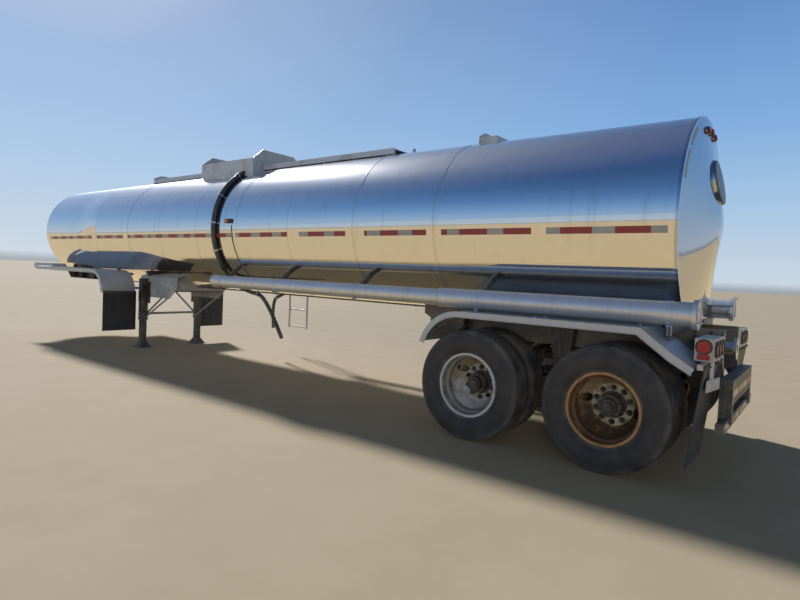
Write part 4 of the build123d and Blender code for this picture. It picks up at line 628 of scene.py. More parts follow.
@dataclass(frozen=True)
class TyreRubber(Finish):
    """Tyre rubber: moulded rings, scuffed sidewall and dust towards the tread."""

    axle_x: float = 0.0
    rubber: Colour = rgb(0.020, 0.020, 0.023)
    worn: Colour = rgb(0.044, 0.043, 0.045)
    dust: Colour = rgb(0.16, 0.145, 0.13)
    tread_edge: Span = (0.455, 0.505)
    bead_edge: Span = (0.345, 0.305)
    rib_turns: float = 1500.0
    ribbed_radius: float = 0.338
    ribbed_edge: Span = (0.008, 0.012)

    def inputs(self, graph: Graph) -> Inputs:
        """Builds the inputs of the Principled shader.

        Args:
            graph: The material's graph.

        Returns:
            Values and sockets by input name.
        """
        radius = graph.shared(axle_radius, X=self.axle_x, Z=AXLE_HEIGHT)
        cloud = graph.noise(graph.place(), 5.0, 6.0, 0.62)
        specks = graph.shared(patch_mask, Scale=26.0, Low=0.5, High=0.72)
        tread = graph.step(radius, *self.tread_edge)
        bead = graph.step(radius, *self.bead_edge)
        dusty = graph.most(graph.times(tread, 0.55), graph.times(bead, 0.35))
        dusty = graph.times(graph.plus(dusty, 0.16), graph.step(cloud, 0.3, 0.72))
        colour = graph.blend(graph.step(cloud, 0.35, 0.7, 0.1, 0.8), self.rubber, self.worn)
        colour = graph.blend(graph.times(specks, 0.25), colour, self.worn)
        colour = graph.blend(dusty, colour, self.dust)
        ribs = graph.maths("SINE", graph.times(radius, self.rib_turns))
        away = graph.maths("ABSOLUTE", graph.less(radius, self.ribbed_radius))
        band = graph.step(away, *self.ribbed_edge, 1.0, 0.0)
        height = graph.times(graph.times(ribs, band), 0.0004)
        skin = graph.noise(graph.place(), 260.0, 3.0, 0.6)
        height = graph.plus(height, graph.times(skin, 0.0002))
        return {
            "Base Color": colour,
            "Metallic": 0.0,
            "Roughness": graph.step(cloud, 0.3, 0.7, 0.58, 0.8),
            "Normal": graph.bump(height),
        }


@dataclass(frozen=True)
class SheetRubber(Finish):
    """Moulded rubber sheet or hose, faded and dusty."""

    rubber: Colour = rgb(0.035, 0.035, 0.038)
    faded: Colour = rgb(0.095, 0.092, 0.09)
    dust: Colour = rgb(0.26, 0.235, 0.20)
    gloss: float = 0.55
    dust_height: float = 1.0

    def inputs(self, graph: Graph) -> Inputs:
        """Builds the inputs of the Principled shader.

        Args:
            graph: The material's graph.

        Returns:
            Values and sockets by input name.
        """
        fade = graph.shared(patch_mask, Scale=3.0, Low=0.38, High=0.7)
        runs = graph.shared(run_mask, Across=20.0, Down=1.5, Low=0.52, High=0.72)
        dust = graph.shared(dust_mask, Height=self.dust_height, Fade=0.7, Scale=9.0)
        skin = graph.noise(graph.place(), 140.0, 3.0, 0.6)
        colour = graph.blend(graph.times(fade, 0.6), self.rubber, self.faded)
        colour = graph.blend(graph.times(runs, 0.25), colour, self.dust)
        colour = graph.blend(graph.times(dust, 0.5), colour, self.dust)
        rough = graph.plus(self.gloss, graph.times(dust, 0.3))
        return {
            "Base Color": colour,
            "Metallic": 0.0,
            "Roughness": rough,
            "Normal": graph.bump(graph.times(skin, 0.00015)),
        }


@dataclass(frozen=True)
class Lens(Finish):
    """Lamp lens: clear-coated coloured plastic with fine moulded ribs and a little dust."""

    tint: Colour = rgb(0.50, 0.012, 0.015)
    deep: Colour = rgb(0.22, 0.004, 0.006)
    dust: Colour = rgb(0.42, 0.33, 0.28)
    rib_pitch: float = 0.006

    def inputs(self, graph: Graph) -> Inputs:
        """Builds the inputs of the Principled shader.

        Args:
            graph: The material's graph.

        Returns:
            Values and sockets by input name.
        """
        axes = graph.axes(graph.place())
        turns = 2 * math.pi / self.rib_pitch
        across = graph.maths("SINE", graph.times(graph.plus(axes[0], axes[1]), turns))
        upward = graph.maths("SINE", graph.times(axes[2], turns))
        ribs = graph.times(graph.plus(across, upward), 0.5)
        dust = graph.shared(patch_mask, Scale=16.0, Low=0.5, High=0.75)
        colour = graph.blend(graph.step(ribs, -0.6, 0.6), self.deep, self.tint)
        colour = graph.blend(graph.times(dust, 0.3), colour, self.dust)
        return {
            "Base Color": colour,
            "Metallic": 0.0,
            "Roughness": graph.plus(0.34, graph.times(dust, 0.3)),
            "Coat Weight": 0.25,
            "Coat Roughness": 0.2,
            "Normal": graph.bump(graph.times(ribs, 0.00006)),
        }


@dataclass(frozen=True)
class MarkerTape(Finish):
    """Retroreflective tape: small hexagonal cells, faded and dirty at the edges."""

    tint: Colour = rgb(0.26, 0.022, 0.030)
    faded: Colour = rgb(0.30, 0.055, 0.055)
    dirt: Colour = rgb(0.22, 0.19, 0.16)
    cell_scale: float = 190.0

    def inputs(self, graph: Graph) -> Inputs:
        """Builds the inputs of the Principled shader.

        Args:
            graph: The material's graph.

        Returns:
            Values and sockets by input name.
        """
        cells = graph.add("ShaderNodeTexVoronoi", {"Vector": graph.place(), "Scale": self.cell_scale})
        cell = cells.outputs["Distance"]
        fade = graph.shared(patch_mask, Scale=5.0, Low=0.42, High=0.7)
        dirt = graph.shared(run_mask, Across=26.0, Down=4.0, Low=0.55, High=0.75)
        colour = graph.blend(graph.times(fade, 0.6), self.tint, self.faded)
        colour = graph.blend(graph.step(cell, 0.45, 0.75, 0.0, 0.25), colour, self.dirt)
        colour = graph.blend(graph.times(dirt, 0.35), colour, self.dirt)
        return {
            "Base Color": colour,
            "Metallic": 0.0,
            "Roughness": graph.step(fade, 0.0, 1.0, 0.3, 0.5),
            "Normal": graph.bump(graph.times(cell, 0.0002)),
        }


class Shop:
    """The finishes that this trailer uses, by part."""

    jacket = PolishedSteel("polished jacket", "polished_steel")
    # The heads' darker, bluer steel and film colours are painted shade with a painted blue sky reflection, on
    # the same polished steel as the jacket.
    heads = PolishedSteel(
        "polished heads with painted shade",
        "polished_steel",
        steel=rgb(0.45, 0.48, 0.53),
        film=rgb(0.34, 0.35, 0.37),
        wave_height=0.0022,
        seams=(),
        veil=0.3,
    )
    # The port cover's dark bluish colours are painted shade on a polished steel cover.
    port = Paint(
        "port cover painted shade",
        "polished_steel",
        coat=rgb(0.085, 0.095, 0.11),
        worn=rgb(0.14, 0.145, 0.155),
        dust_share=0.2,
        rust_low=0.8,
        gloss=0.36,
    )
    tubes = SatinAluminium("hose tube sheet", "satin_aluminium", dust_height=1.22)
    fenders = SatinAluminium(
        "fender sheet",
        "satin_aluminium",
        metal=rgb(0.47, 0.49, 0.52),
        ring_scale=40.0,
        wave_height=0.0016,
        gloss=0.46,
        mirror=0.45,
        dust_height=1.15,
    )
    arms = SatinAluminium(
        "fender arm sheet", "satin_aluminium", metal=rgb(0.58, 0.59, 0.60), gloss=0.42, dust_height=1.12
    )
    # The light boxes' tan colours are partly the boxes' own pale colour and partly a painted reflection of
    # the beige ground in their aluminium; the pale strips on the rails' ends use them too.
    boxes = Paint(
        "light box paint",
        "satin_aluminium",
        coat=rgb(0.52, 0.49, 0.45),
        worn=rgb(0.40, 0.37, 0.33),
        dust_share=0.3,
        rust_low=0.72,
    )
    # The tube brackets' near-black colours are painted shade, standing in for the dark gap between tube and
    # jacket.
    brackets = Paint(
        "bracket painted shade",
        "satin_aluminium",
        coat=rgb(0.10, 0.105, 0.11),
        worn=rgb(0.17, 0.165, 0.16),
        dust_share=0.3,
    )
    rusty = Paint(
        "rusty bolts",
        "bare_steel",
        coat=rgb(0.30, 0.115, 0.03),
        worn=rgb(0.15, 0.06, 0.025),
        rust=rgb(0.48, 0.19, 0.05),
        dust_share=0.2,
        rust_low=0.5,
        gloss=0.62,
    )
    topside = Paint(
        "topside paint",
        "grey_paint",
        coat=rgb(0.47, 0.51, 0.57),
        worn=rgb(0.33, 0.35, 0.37),
        rust_low=0.74,
        dust_share=0.0,
        gloss=0.36,
    )
    ladder = SatinAluminium(
        "ladder tube",
        "satin_aluminium",
        metal=rgb(0.52, 0.54, 0.57),
        gloss=0.42,
        dust_height=1.5,
    )
    chassis = Paint("chassis paint", "black_paint")
    rails = Paint("rail paint", "black_paint", coat=rgb(0.12, 0.11, 0.095), worn=rgb(0.19, 0.175, 0.15))
    legs = Paint("leg paint", "black_paint", coat=rgb(0.018, 0.019, 0.022), dust_share=0.4)
    plates = Paint(
        "worn side plate paint",
        "black_paint",
        coat=rgb(0.27, 0.29, 0.31),
        worn=rgb(0.46, 0.46, 0.45),
        rust_low=0.66,
    )
    fittings = BareSteel("bare fittings", "bare_steel")
    nuts = BareSteel("wheel nuts", "bare_steel", metal=rgb(0.075, 0.068, 0.063), gloss=0.5, dirt_low=0.4)
    drums = Paint(
        "cast hub",
        "cast_drum",
        coat=rgb(0.014, 0.013, 0.014),
        worn=rgb(0.032, 0.028, 0.026),
        dust_share=0.3,
        rust_low=0.72,
    )
    # The flaps' rubber is darker and bluer than the other rubber: partly black rubber, partly painted shade.
    flaps = SheetRubber(
        "flap rubber with painted shade",
        "black_rubber",
        rubber=rgb(0.013, 0.015, 0.020),
        faded=rgb(0.032, 0.034, 0.038),
        dust=rgb(0.12, 0.115, 0.105),
    )
    hose = SheetRubber("hose rubber", "black_rubber", gloss=0.38, dust_height=1.1)
    gasket = SheetRubber("gasket rubber", "black_rubber", dust_height=0.5)
    red_lens = Lens("red lens", "red_lens")
    amber_lens = Lens(
        "amber lens",
        "amber_lens",
        tint=rgb(0.80, 0.26, 0.03),
        deep=rgb(0.45, 0.11, 0.01),
        dust=rgb(0.5, 0.4, 0.3),
    )
    housing = Paint(
        "lamp housing",
        "black_plastic",
        coat=rgb(0.022, 0.022, 0.024),
        rust_low=0.9,
        dust_share=0.3,
    )
    red_tape = MarkerTape("red tape", "red_lens")
    white_tape = MarkerTape(
        "white tape",
        "plate_metal",
        tint=rgb(0.36, 0.37, 0.36),
        faded=rgb(0.30, 0.30, 0.29),
        dirt=rgb(0.26, 0.24, 0.21),
    )
    blank = Paint(
        "blank plate",
        "plate_metal",
        coat=rgb(0.60, 0.61, 0.62),
        worn=rgb(0.45, 0.45, 0.45),
        rust_low=0.7,
        gloss=0.4,
    )
    front_wheels = WheelPaint("front wheel paint", "wheel_paint", axle_x=at(AXLES["front"]))
    rear_wheels = WheelPaint(
        "rear wheel paint",
        "wheel_paint",
        axle_x=at(AXLES["rear"]),
        flange=rgb(0.38, 0.215, 0.10),
        gutter=rgb(0.10, 0.045, 0.02),
        disc_high=rgb(0.30, 0.24, 0.14),
        disc_low=rgb(0.075, 0.048, 0.03),
        pad=rgb(0.42, 0.39, 0.29),
        grime=rgb(0.05, 0.03, 0.02),
        rust=rgb(0.22, 0.12, 0.055),
        grime_share=0.6,
        rust_low=0.54,
    )
    front_tyres = TyreRubber("front tyre rubber", "tyre_rubber", axle_x=at(AXLES["front"]))
    rear_tyres = TyreRubber("rear tyre rubber", "tyre_rubber", axle_x=at(AXLES["rear"]))


FINISH_NODES: dict[Finish, tuple[str, ...]] = {
    Shop.jacket: ("tank_jacket",),
    Shop.heads: ("front_head", "rear_head"),
    Shop.port: ("port_cover",),
    Shop.topside: ("spill_box", "walkways", "vent_box"),
    Shop.fittings: ("manway_neck", "manway_lid", "top_valves", "outlet"),
    Shop.gasket: ("manway_gasket",),
    Shop.ladder: ("side_ladder", "hose_hangers"),
    Shop.tubes: ("hose_tube_left", "hose_tube_right", "tube_door_left", "tube_door_right"),
    Shop.brackets: ("tube_brackets",),
    Shop.fenders: ("tandem_fenders", "front_decks"),
    Shop.arms: ("fender_arms",),
    Shop.chassis: ("upper_coupler", "suspension", "axle_front", "axle_rear", "air_tank", "rear_guard"),
    Shop.flaps: ("mud_flaps",),
    Shop.legs: ("landing_legs",),
    Shop.plates: ("landing_frame",),
    Shop.nuts: ("crank_handle",),
    Shop.rails: ("subframe",),
    Shop.boxes: ("light_boxes",),
    Shop.red_lens: ("red_lamps",),
    Shop.housing: ("lamp_housings",),
    Shop.amber_lens: ("amber_lamps",),
    Shop.blank: ("blank_plate",),
    Shop.hose: ("drain_lines", "drain_hose_left", "drain_hose_right"),
}


def wheel_finish(name: str) -> Finish:
    """Finish of a wheel end's tyres, rims or hub.

    Args:
        name: The node's name.

    Returns:
        Its finish.
    """
    if name.startswith("hub"):
        return Shop.drums
    front = "_front_" in name
    if name.startswith("tyres"):
        return Shop.front_tyres if front else Shop.rear_tyres
    return Shop.front_wheels if front else Shop.rear_wheels


def dress_nodes() -> None:
    """Gives every solid of the frame its finish."""
    finishes = {name: finish for finish, names in FINISH_NODES.items() for name in names}
    for name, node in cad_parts.items():
        material = (finishes.get(name) or wheel_finish(name)).material()
        if node.material_slots:
            for place in node.material_slots:
                place.material = material
        else:
            node.data.materials.append(material)
    LOG.info("dressed %d solids", len(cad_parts))


# Mesh building


def round_run(
    name: str, points: Sequence[Vector], radius: float, smooth: bool, fineness: tuple[int, int]
) -> bpy.types.Curve:
    """Makes the curve of a round bar or hose.

    Args:
        name: The curve's name.
        points: The points that it runs along.
        radius: Its radius.
        smooth: Whether its corners are turned into curves.
        fineness: Steps along each stretch and round each quarter.

    Returns:
        The curve.
    """
    curve = bpy.data.curves.new(name, "CURVE")
    curve.dimensions = "3D"
    curve.bevel_depth = radius
    curve.resolution_u, curve.bevel_resolution = fineness
    curve.use_fill_caps = True
    spline = curve.splines.new("NURBS" if smooth else "POLY")
    spline.points.add(len(points) - 1)
    for point, place in zip(spline.points, points):
        point.co = (*place, 1.0)
    if smooth:
        spline.order_u = 3
        spline.use_endpoint_u = True
    return curve


@dataclass(frozen=True)
class Head:
    """A hexagon head on its washer, and the length of the stud that stands out of it."""

    radius: float
    height: float
    stud: float = 0.0


@dataclass(frozen=True)
class Bolts:
    """A circle of equal bolts: their number, its radius, their heads and where in a step it starts."""

    count: int
    circle: float
    head: Head
    start: float = 0.5


@dataclass(frozen=True)
class Block:
    """A box and how far its edges are rounded."""

    size: Point
    bevel: float = 0.0


@dataclass(frozen=True)
class Band:
    """A flat ring with a rounded outer edge."""

    inner: float
    outer: float
    height: float


class Builder:
    """One mesh in the making: shapes are added with bmesh operators and turned into one piece."""

    washer_share = 0.22
    washer_reach = 1.35
    head_taper = 0.9
    stud_share = 0.55
    lip_share = 0.35
    merge_distance = 1e-5

    def __init__(self, name: str) -> None:
        """Starts an empty mesh for the piece of that name."""
        self.name = name
        self.bm = bmesh.new()

    def lathe(
        self,
        profile: Sequence[Span],
        origin: Vector,
        axis: Vector,
        steps: int = 32,
        angle: float = 2 * math.pi,
        side: Vector | None = None,
        closed: bool = False,
        capped: bool = False,
    ) -> None:
        """Spins a profile about an axis.

        Args:
            profile: Distances along the axis and from it.
            origin: A point on the axis.
            axis: The axis direction.
            steps: Steps of the spin.
            angle: How far it turns.
            side: Direction from the axis in which the profile is drawn.
            closed: Whether the profile's end joins its start.
            capped: Whether a closed profile spun part of the way is closed at both ends.
        """
        axis = axis.normalized()
        side = side.normalized() if side else axis.orthogonal().normalized()
        verts = [self.bm.verts.new(origin + axis * along + side * away) for along, away in profile]
        pairs = list(zip(verts, verts[1:])) + ([(verts[-1], verts[0])] if closed else [])
        edges = [self.bm.edges.new(pair) for pair in pairs]
        full = math.isclose(angle, 2 * math.pi)
        made = bmesh.ops.spin(
            self.bm, geom=verts + edges, cent=origin, axis=axis, angle=angle, steps=steps, use_merge=full
        )
        if capped:
            last = [item for item in made["geom_last"] if isinstance(item, bmesh.types.BMEdge)]
            for loop in (edges, last):
                bmesh.ops.contextual_create(self.bm, geom=loop)

    def rod(
        self, start: Vector, end: Vector, radius: float, segments: int = 12, tip: float | None = None
    ) -> None:
        """Adds a round bar.

        Args:
            start: The middle of its first end.
            end: The middle of its other end.
            radius: Its radius.
            segments: Its sides.
            tip: Its radius at the end, where that differs.
        """
        run = end - start
        turn = run.to_track_quat("Z", "Y").to_matrix().to_4x4()
        bmesh.ops.create_cone(
            self.bm,
            cap_ends=True,
            segments=segments,
            radius1=radius,
            radius2=radius if tip is None else tip,
            depth=run.length,
            matrix=Matrix.Translation((start + end) / 2) @ turn,
        )

    def slab(self, centre: Vector, block: Block, turn: float = 0.0, about: str = "Z") -> None:
        """Adds a box with rounded edges.

        Args:
            centre: Its middle.
            block: Its sizes before it is turned.
            turn: Degrees that it is turned by.
            about: The axis that it is turned about.
        """
        place = Matrix.Translation(centre) @ Matrix.Rotation(math.radians(turn), 4, about)
        made = bmesh.ops.create_cube(self.bm, size=1.0, matrix=place @ Matrix.Diagonal((*block.size, 1.0)))
        if block.bevel:
            edges = list({edge for vert in made["verts"] for edge in vert.link_edges})
            bmesh.ops.bevel(
                self.bm, geom=edges, offset=block.bevel, affect="EDGES", segments=2, profile=0.5, material=-1
            )

    def ring(self, centre: Vector, axis: Vector, band: Band, steps: int = 40) -> None:
        """Adds a flat ring.

        Args:
            centre: Its middle, on the face that it stands on.
            axis: The way that it stands up.
            band: Its sizes.
            steps: Its sides.
        """
        inner, outer, height = band.inner, band.outer, band.height
        lip = min(height, outer - inner) * self.lip_share
        profile = (
            (0.0, inner),
            (0.0, outer),
            (height - lip, outer),
            (height, outer - lip),
            (height, inner + lip / 2),
            (height - lip / 2, inner),
        )
        self.lathe(profile, centre, axis, steps, closed=True)

    def pipe(self, points: Sequence[Vector], radius: float, smooth: bool = False) -> None:
        """Adds a round bar along points.

        Args:
            points: The points that it runs along.
            radius: Its radius.
            smooth: Whether its corners are turned into curves.
        """
        curve = round_run(f"{self.name}_run", points, radius, smooth, (8, 2))
        run = bpy.data.objects.new(curve.name, curve)
        mesh = bpy.data.meshes.new_from_object(run)
        self.bm.from_mesh(mesh)
        bpy.data.objects.remove(run)
        bpy.data.curves.remove(curve)
        bpy.data.meshes.remove(mesh)

    def bolt(self, seat: Vector, axis: Vector, head: Head) -> None:
        """Adds a hexagon head on its washer.

        Args:
            seat: The middle of the washer's foot.
            axis: The way that the head stands up.
            head: Its sizes.
        """
        axis = axis.normalized()
        washer, top = seat + axis * (head.height * self.washer_share), seat + axis * head.height
        self.rod(seat, washer, head.radius * self.washer_reach, 16)
        self.rod(washer, top, head.radius, 6, head.radius * self.head_taper)
        if head.stud:
            self.rod(top, seat + axis * (head.height + head.stud), head.radius * self.stud_share, 8)

    def bolts(self, middle: Vector, axis: Vector, level: Vector, bolts: Bolts) -> None:
        """Adds a circle of bolts on an upright face.

        Args:
            middle: The circle's middle.
            axis: The way that the heads stand up.
            level: The level direction in the face.
            bolts: The circle.
        """
        for index in range(bolts.count):
            turn = 2 * math.pi * (index + bolts.start) / bolts.count
            seat = middle + level * (bolts.circle * math.cos(turn)) + UP * (bolts.circle * math.sin(turn))
            self.bolt(seat, axis, bolts.head)

    def finish(self, finish: Finish, body: Body = Body.TRAILER, sharp: float = 38.0) -> bpy.types.Object:
        """Turns the mesh into a piece that rides on a body.

        Args:
            finish: Its finish.
            body: The body that it rides on.
            sharp: Edges that turn by more degrees stay sharp.

        Returns:
            The piece.
        """
        bmesh.ops.remove_doubles(self.bm, verts=self.bm.verts, dist=self.merge_distance)
        bmesh.ops.recalc_face_normals(self.bm, faces=self.bm.faces)
        mesh = bpy.data.meshes.new(self.name)
        self.bm.to_mesh(mesh)
        self.bm.free()
        for polygon in mesh.polygons:
            polygon.use_smooth = True
        mesh.set_sharp_from_angle(angle=math.radians(sharp))
        piece = bpy.data.objects.new(self.name, mesh)
        bpy.context.scene.collection.objects.link(piece)
        mesh.materials.append(finish.material())
        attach(piece, body.value)
        LOG.info("%s: %d faces", self.name, len(mesh.polygons))
        return piece


# Sub-assemblies


@dataclass
class JacketTape:
    """Red and white marker tape along both sides of the jacket and on the rear head."""

    low: float = 1.931
    high: float = 1.989
    lift: float = 0.0012
    reds: Pairs = (
        (-0.213, 0.066), (0.256, 0.536), (0.809, 1.090), (1.260, 1.573), (1.715, 1.787), (1.973, 2.154),
        (2.341, 2.594), (2.784, 2.829), (3.123, 3.302), (3.469, 3.748), (4.137, 4.253), (4.431, 4.678),
        (4.869, 5.135), (5.435, 5.726), (5.941, 6.220), (6.337, 6.521), (6.700, 6.964), (7.142, 7.337),
        (7.512, 7.575), (7.756, 8.021), (8.199, 8.310), (8.451, 8.668), (8.854, 9.120), (9.292, 9.452),
        (9.664, 9.806), (10.025, 10.303), (10.512, 10.687), (10.836, 11.090), (11.298, 11.533),
    )  # fmt: skip
    bare: Pairs = (
        (0.666, 0.809), (1.787, 1.973), (2.829, 3.123), (3.915, 4.137), (8.320, 8.451), (9.452, 9.664),
    )  # fmt: skip
    ends: Span = (-0.335, 11.690)
    shortest: float = 0.01
    rim_station: float = -0.384
    rim_depth: float = 0.025
    rim_radius: float = 0.922
    cone_slope: float = 11.1
    head_lift: float = 0.0015
    head_radii: Span = (0.868, 0.900)
    head_turns: Pairs = ((32.0, 49.0), (53.0, 71.0))

    def _section(self, station: float) -> Span:
        """Radius and centre height of the jacket at a station."""
        share = min(max((station - TAPER_START) / (FRONT_RING - TAPER_START), 0.0), 1.0)
        return BARREL_RADIUS - FRONT_TAPER * share, BARREL_Z + FRONT_TAPER * share

    def _side_strip(self, builder: Builder, start: float, end: float, side: Side) -> None:
        """Makes one strip on the jacket.

        Args:
            builder: The piece that it belongs to.
            start: The station of its rear end.
            end: The station of its front end.
            side: Its side.
        """
        (first, centre), (last, far_centre) = self._section(start), self._section(end)
        middle = (centre + far_centre) / 2
        rise = math.asin((self.high - middle) / first)
        fall = math.asin((self.low - middle) / first)
        outward = side.out * math.cos(fall) + UP * math.sin(fall)
        profile = ((0.0, first + self.lift), (end - start, last + self.lift))
        builder.lathe(profile, spot(start, 0, middle), FORWARD, 4, (rise - fall) * side.value, outward)

    def _head_strips(self, builder: Builder) -> None:
        """Makes the strips on the rear head, which is a flat cone there.

        Args:
            builder: The piece that they belong to.
        """
        slope = math.tan(math.radians(self.cone_slope))
        edge = self.rim_depth + self.head_lift
        profile = [(-edge - (self.rim_radius - radius) * slope, radius) for radius in self.head_radii]
        for side in Side:
            for low, high in self.head_turns:
                start, turn = math.radians(low), math.radians(low - high) * side.value
                outward = side.out * math.sin(start) + UP * math.cos(start)
                builder.lathe(profile, spot(self.rim_station, 0, BARREL_Z), FORWARD, 10, turn, outward)

    def build(self) -> None:
        """Makes the red strips and the white ones between them."""
        red, white = Builder("red_side_tape"), Builder("white_side_tape")
        taken = sorted([*self.reds, *self.bare])
        edges = [(self.ends[0], self.ends[0]), *taken, (self.ends[1], self.ends[1])]
        for side in Side:
            for start, end in self.reds:
                self._side_strip(red, start, end, side)
            for (_, start), (end, _) in zip(edges, edges[1:]):
                if end - start > self.shortest:
                    self._side_strip(white, start, end, side)
        self._head_strips(white)
        red.finish(Shop.red_tape)
        white.finish(Shop.white_tape)


@dataclass(frozen=True)
class WheelEnd:
    """One wheel end, by its axle and its side."""

    axle: str
    side: Side

    @property
    def corner(self) -> str:
        """Its name as nodes have it."""
        return f"{self.axle}_{self.side.label}"

    @property
    def body(self) -> Body:
        """The body that turns with it."""
        return Body[f"WHEELS_{self.corner.upper()}"]

    def reach(self, distance: float) -> Vector:
        """Point on the axle's line at a distance from the middle plane."""
        return self.side.spot(AXLES[self.axle], distance, AXLE_HEIGHT)


@dataclass
class TyreSet:
    """Tyres of one wheel end in detail: grooved tread, shoulder and moulded rings."""

    wheel: WheelEnd
    centre: float = 0.908
    offset: float = 0.171
    radius: float = 0.516
    crown_fall: float = 0.0045
    crown_half: float = 0.1
    groove_depth: float = 0.011
    groove_half: float = 0.0045
    groove_edge: float = 0.0015
    groove_foot: float = 0.001
    grooves: tuple[float, ...] = (-0.069, -0.023, 0.023, 0.069)
    wall: Pairs = (
        (0.0965, 0.2892), (0.1000, 0.2985), (0.1060, 0.3020),
        (0.1085, 0.3075), (0.1080, 0.3110), (0.1155, 0.3200),
        (0.1215, 0.3290), (0.1240, 0.3300), (0.1262, 0.3370),
        (0.1255, 0.3385), (0.1305, 0.3530), (0.1352, 0.3720),
        (0.1382, 0.3920), (0.1388, 0.4100), (0.1378, 0.4280),
        (0.1352, 0.4460), (0.1338, 0.4475), (0.1318, 0.4600),
        (0.1275, 0.4760), (0.1225, 0.4895), (0.1205, 0.4915),
        (0.1165, 0.4975), (0.1100, 0.5075), (0.1035, 0.5115),
    )  # fmt: skip

    def _profile(self) -> list[Span]:
        """Closed section of a tyre, as distances from its middle and from the axle."""
        edge, foot = self.groove_half + self.groove_edge, self.groove_half - self.groove_foot
        tread: list[Span] = []
        for middle in reversed(self.grooves):
            crown = self.radius - self.crown_fall * (abs(middle) / self.crown_half) ** 2
            floor = crown - self.groove_depth
            tread += [(middle + edge, crown), (middle + foot, floor)]
            tread += [(middle - foot, floor), (middle - edge, crown)]
        return [*self.wall, *tread, *((-along, away) for along, away in reversed(self.wall))]

    def build(self) -> None:
        """Makes both tyres of the wheel end, in place of the plain ones."""
        builder = Builder(f"tyre_pair_{self.wheel.corner}")
        for step in (1, -1):
            origin = self.wheel.reach(self.centre + step * self.offset)
            builder.lathe(self._profile(), origin, self.wheel.side.out, 96, closed=True)
        finish = Shop.front_tyres if self.wheel.axle == "front" else Shop.rear_tyres
        piece = builder.finish(finish, self.wheel.body, 50.0)
        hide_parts(f"tyres_{self.wheel.corner}")


@dataclass
class WheelFittings:
    """Studs, nuts, hub cap bolts and valve stem of one wheel end."""

    wheel: WheelEnd
    circles: tuple[tuple[float, Bolts], ...] = (
        (0.919, Bolts(10, 0.1429, Head(0.019, 0.024, 0.020))),
        (1.013, Bolts(8, 0.081, Head(0.0085, 0.008))),
        (1.048, Bolts(6, 0.051, Head(0.0055, 0.005), 0.0)),
    )
    valve_ahead: float = 0.020
    valve_above: float = 0.232
    valve_span: Span = (0.955, 1.030)
    valve_radius: float = 0.0045

    def build(self) -> None:
        """Makes the nuts and bolts as one piece."""
        builder = Builder(f"wheel_fittings_{self.wheel.corner}")
        for face, bolts in self.circles:
            builder.bolts(self.wheel.reach(face), self.wheel.side.out, FORWARD, bolts)
        away = Vector((self.valve_ahead, 0, self.valve_above))
        foot, tip = (self.wheel.reach(distance) + away for distance in self.valve_span)
        builder.rod(foot, tip, self.valve_radius, 8)
        builder.finish(Shop.nuts, self.wheel.body)


@dataclass
class DrainHose:
    """Free end of one drain hose, a cord on the same route as its solid."""

    name: str
    points: Points
    length: float
    diameter: float = 0.054

    def build(self) -> None:
        curve = round_run(self.name, self.points, self.diameter / 2, True, (24, 6))
        curve.materials.append(Shop.hose.material())
        piece = bpy.data.objects.new(self.name, curve)
        bpy.context.scene.collection.objects.link(piece)
        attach(piece, Body.TRAILER.value)
        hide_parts(self.name.replace("free", "drain"))
        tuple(self.points[0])
        LOG.info("%s: cord of %d points", self.name, len(self.points))


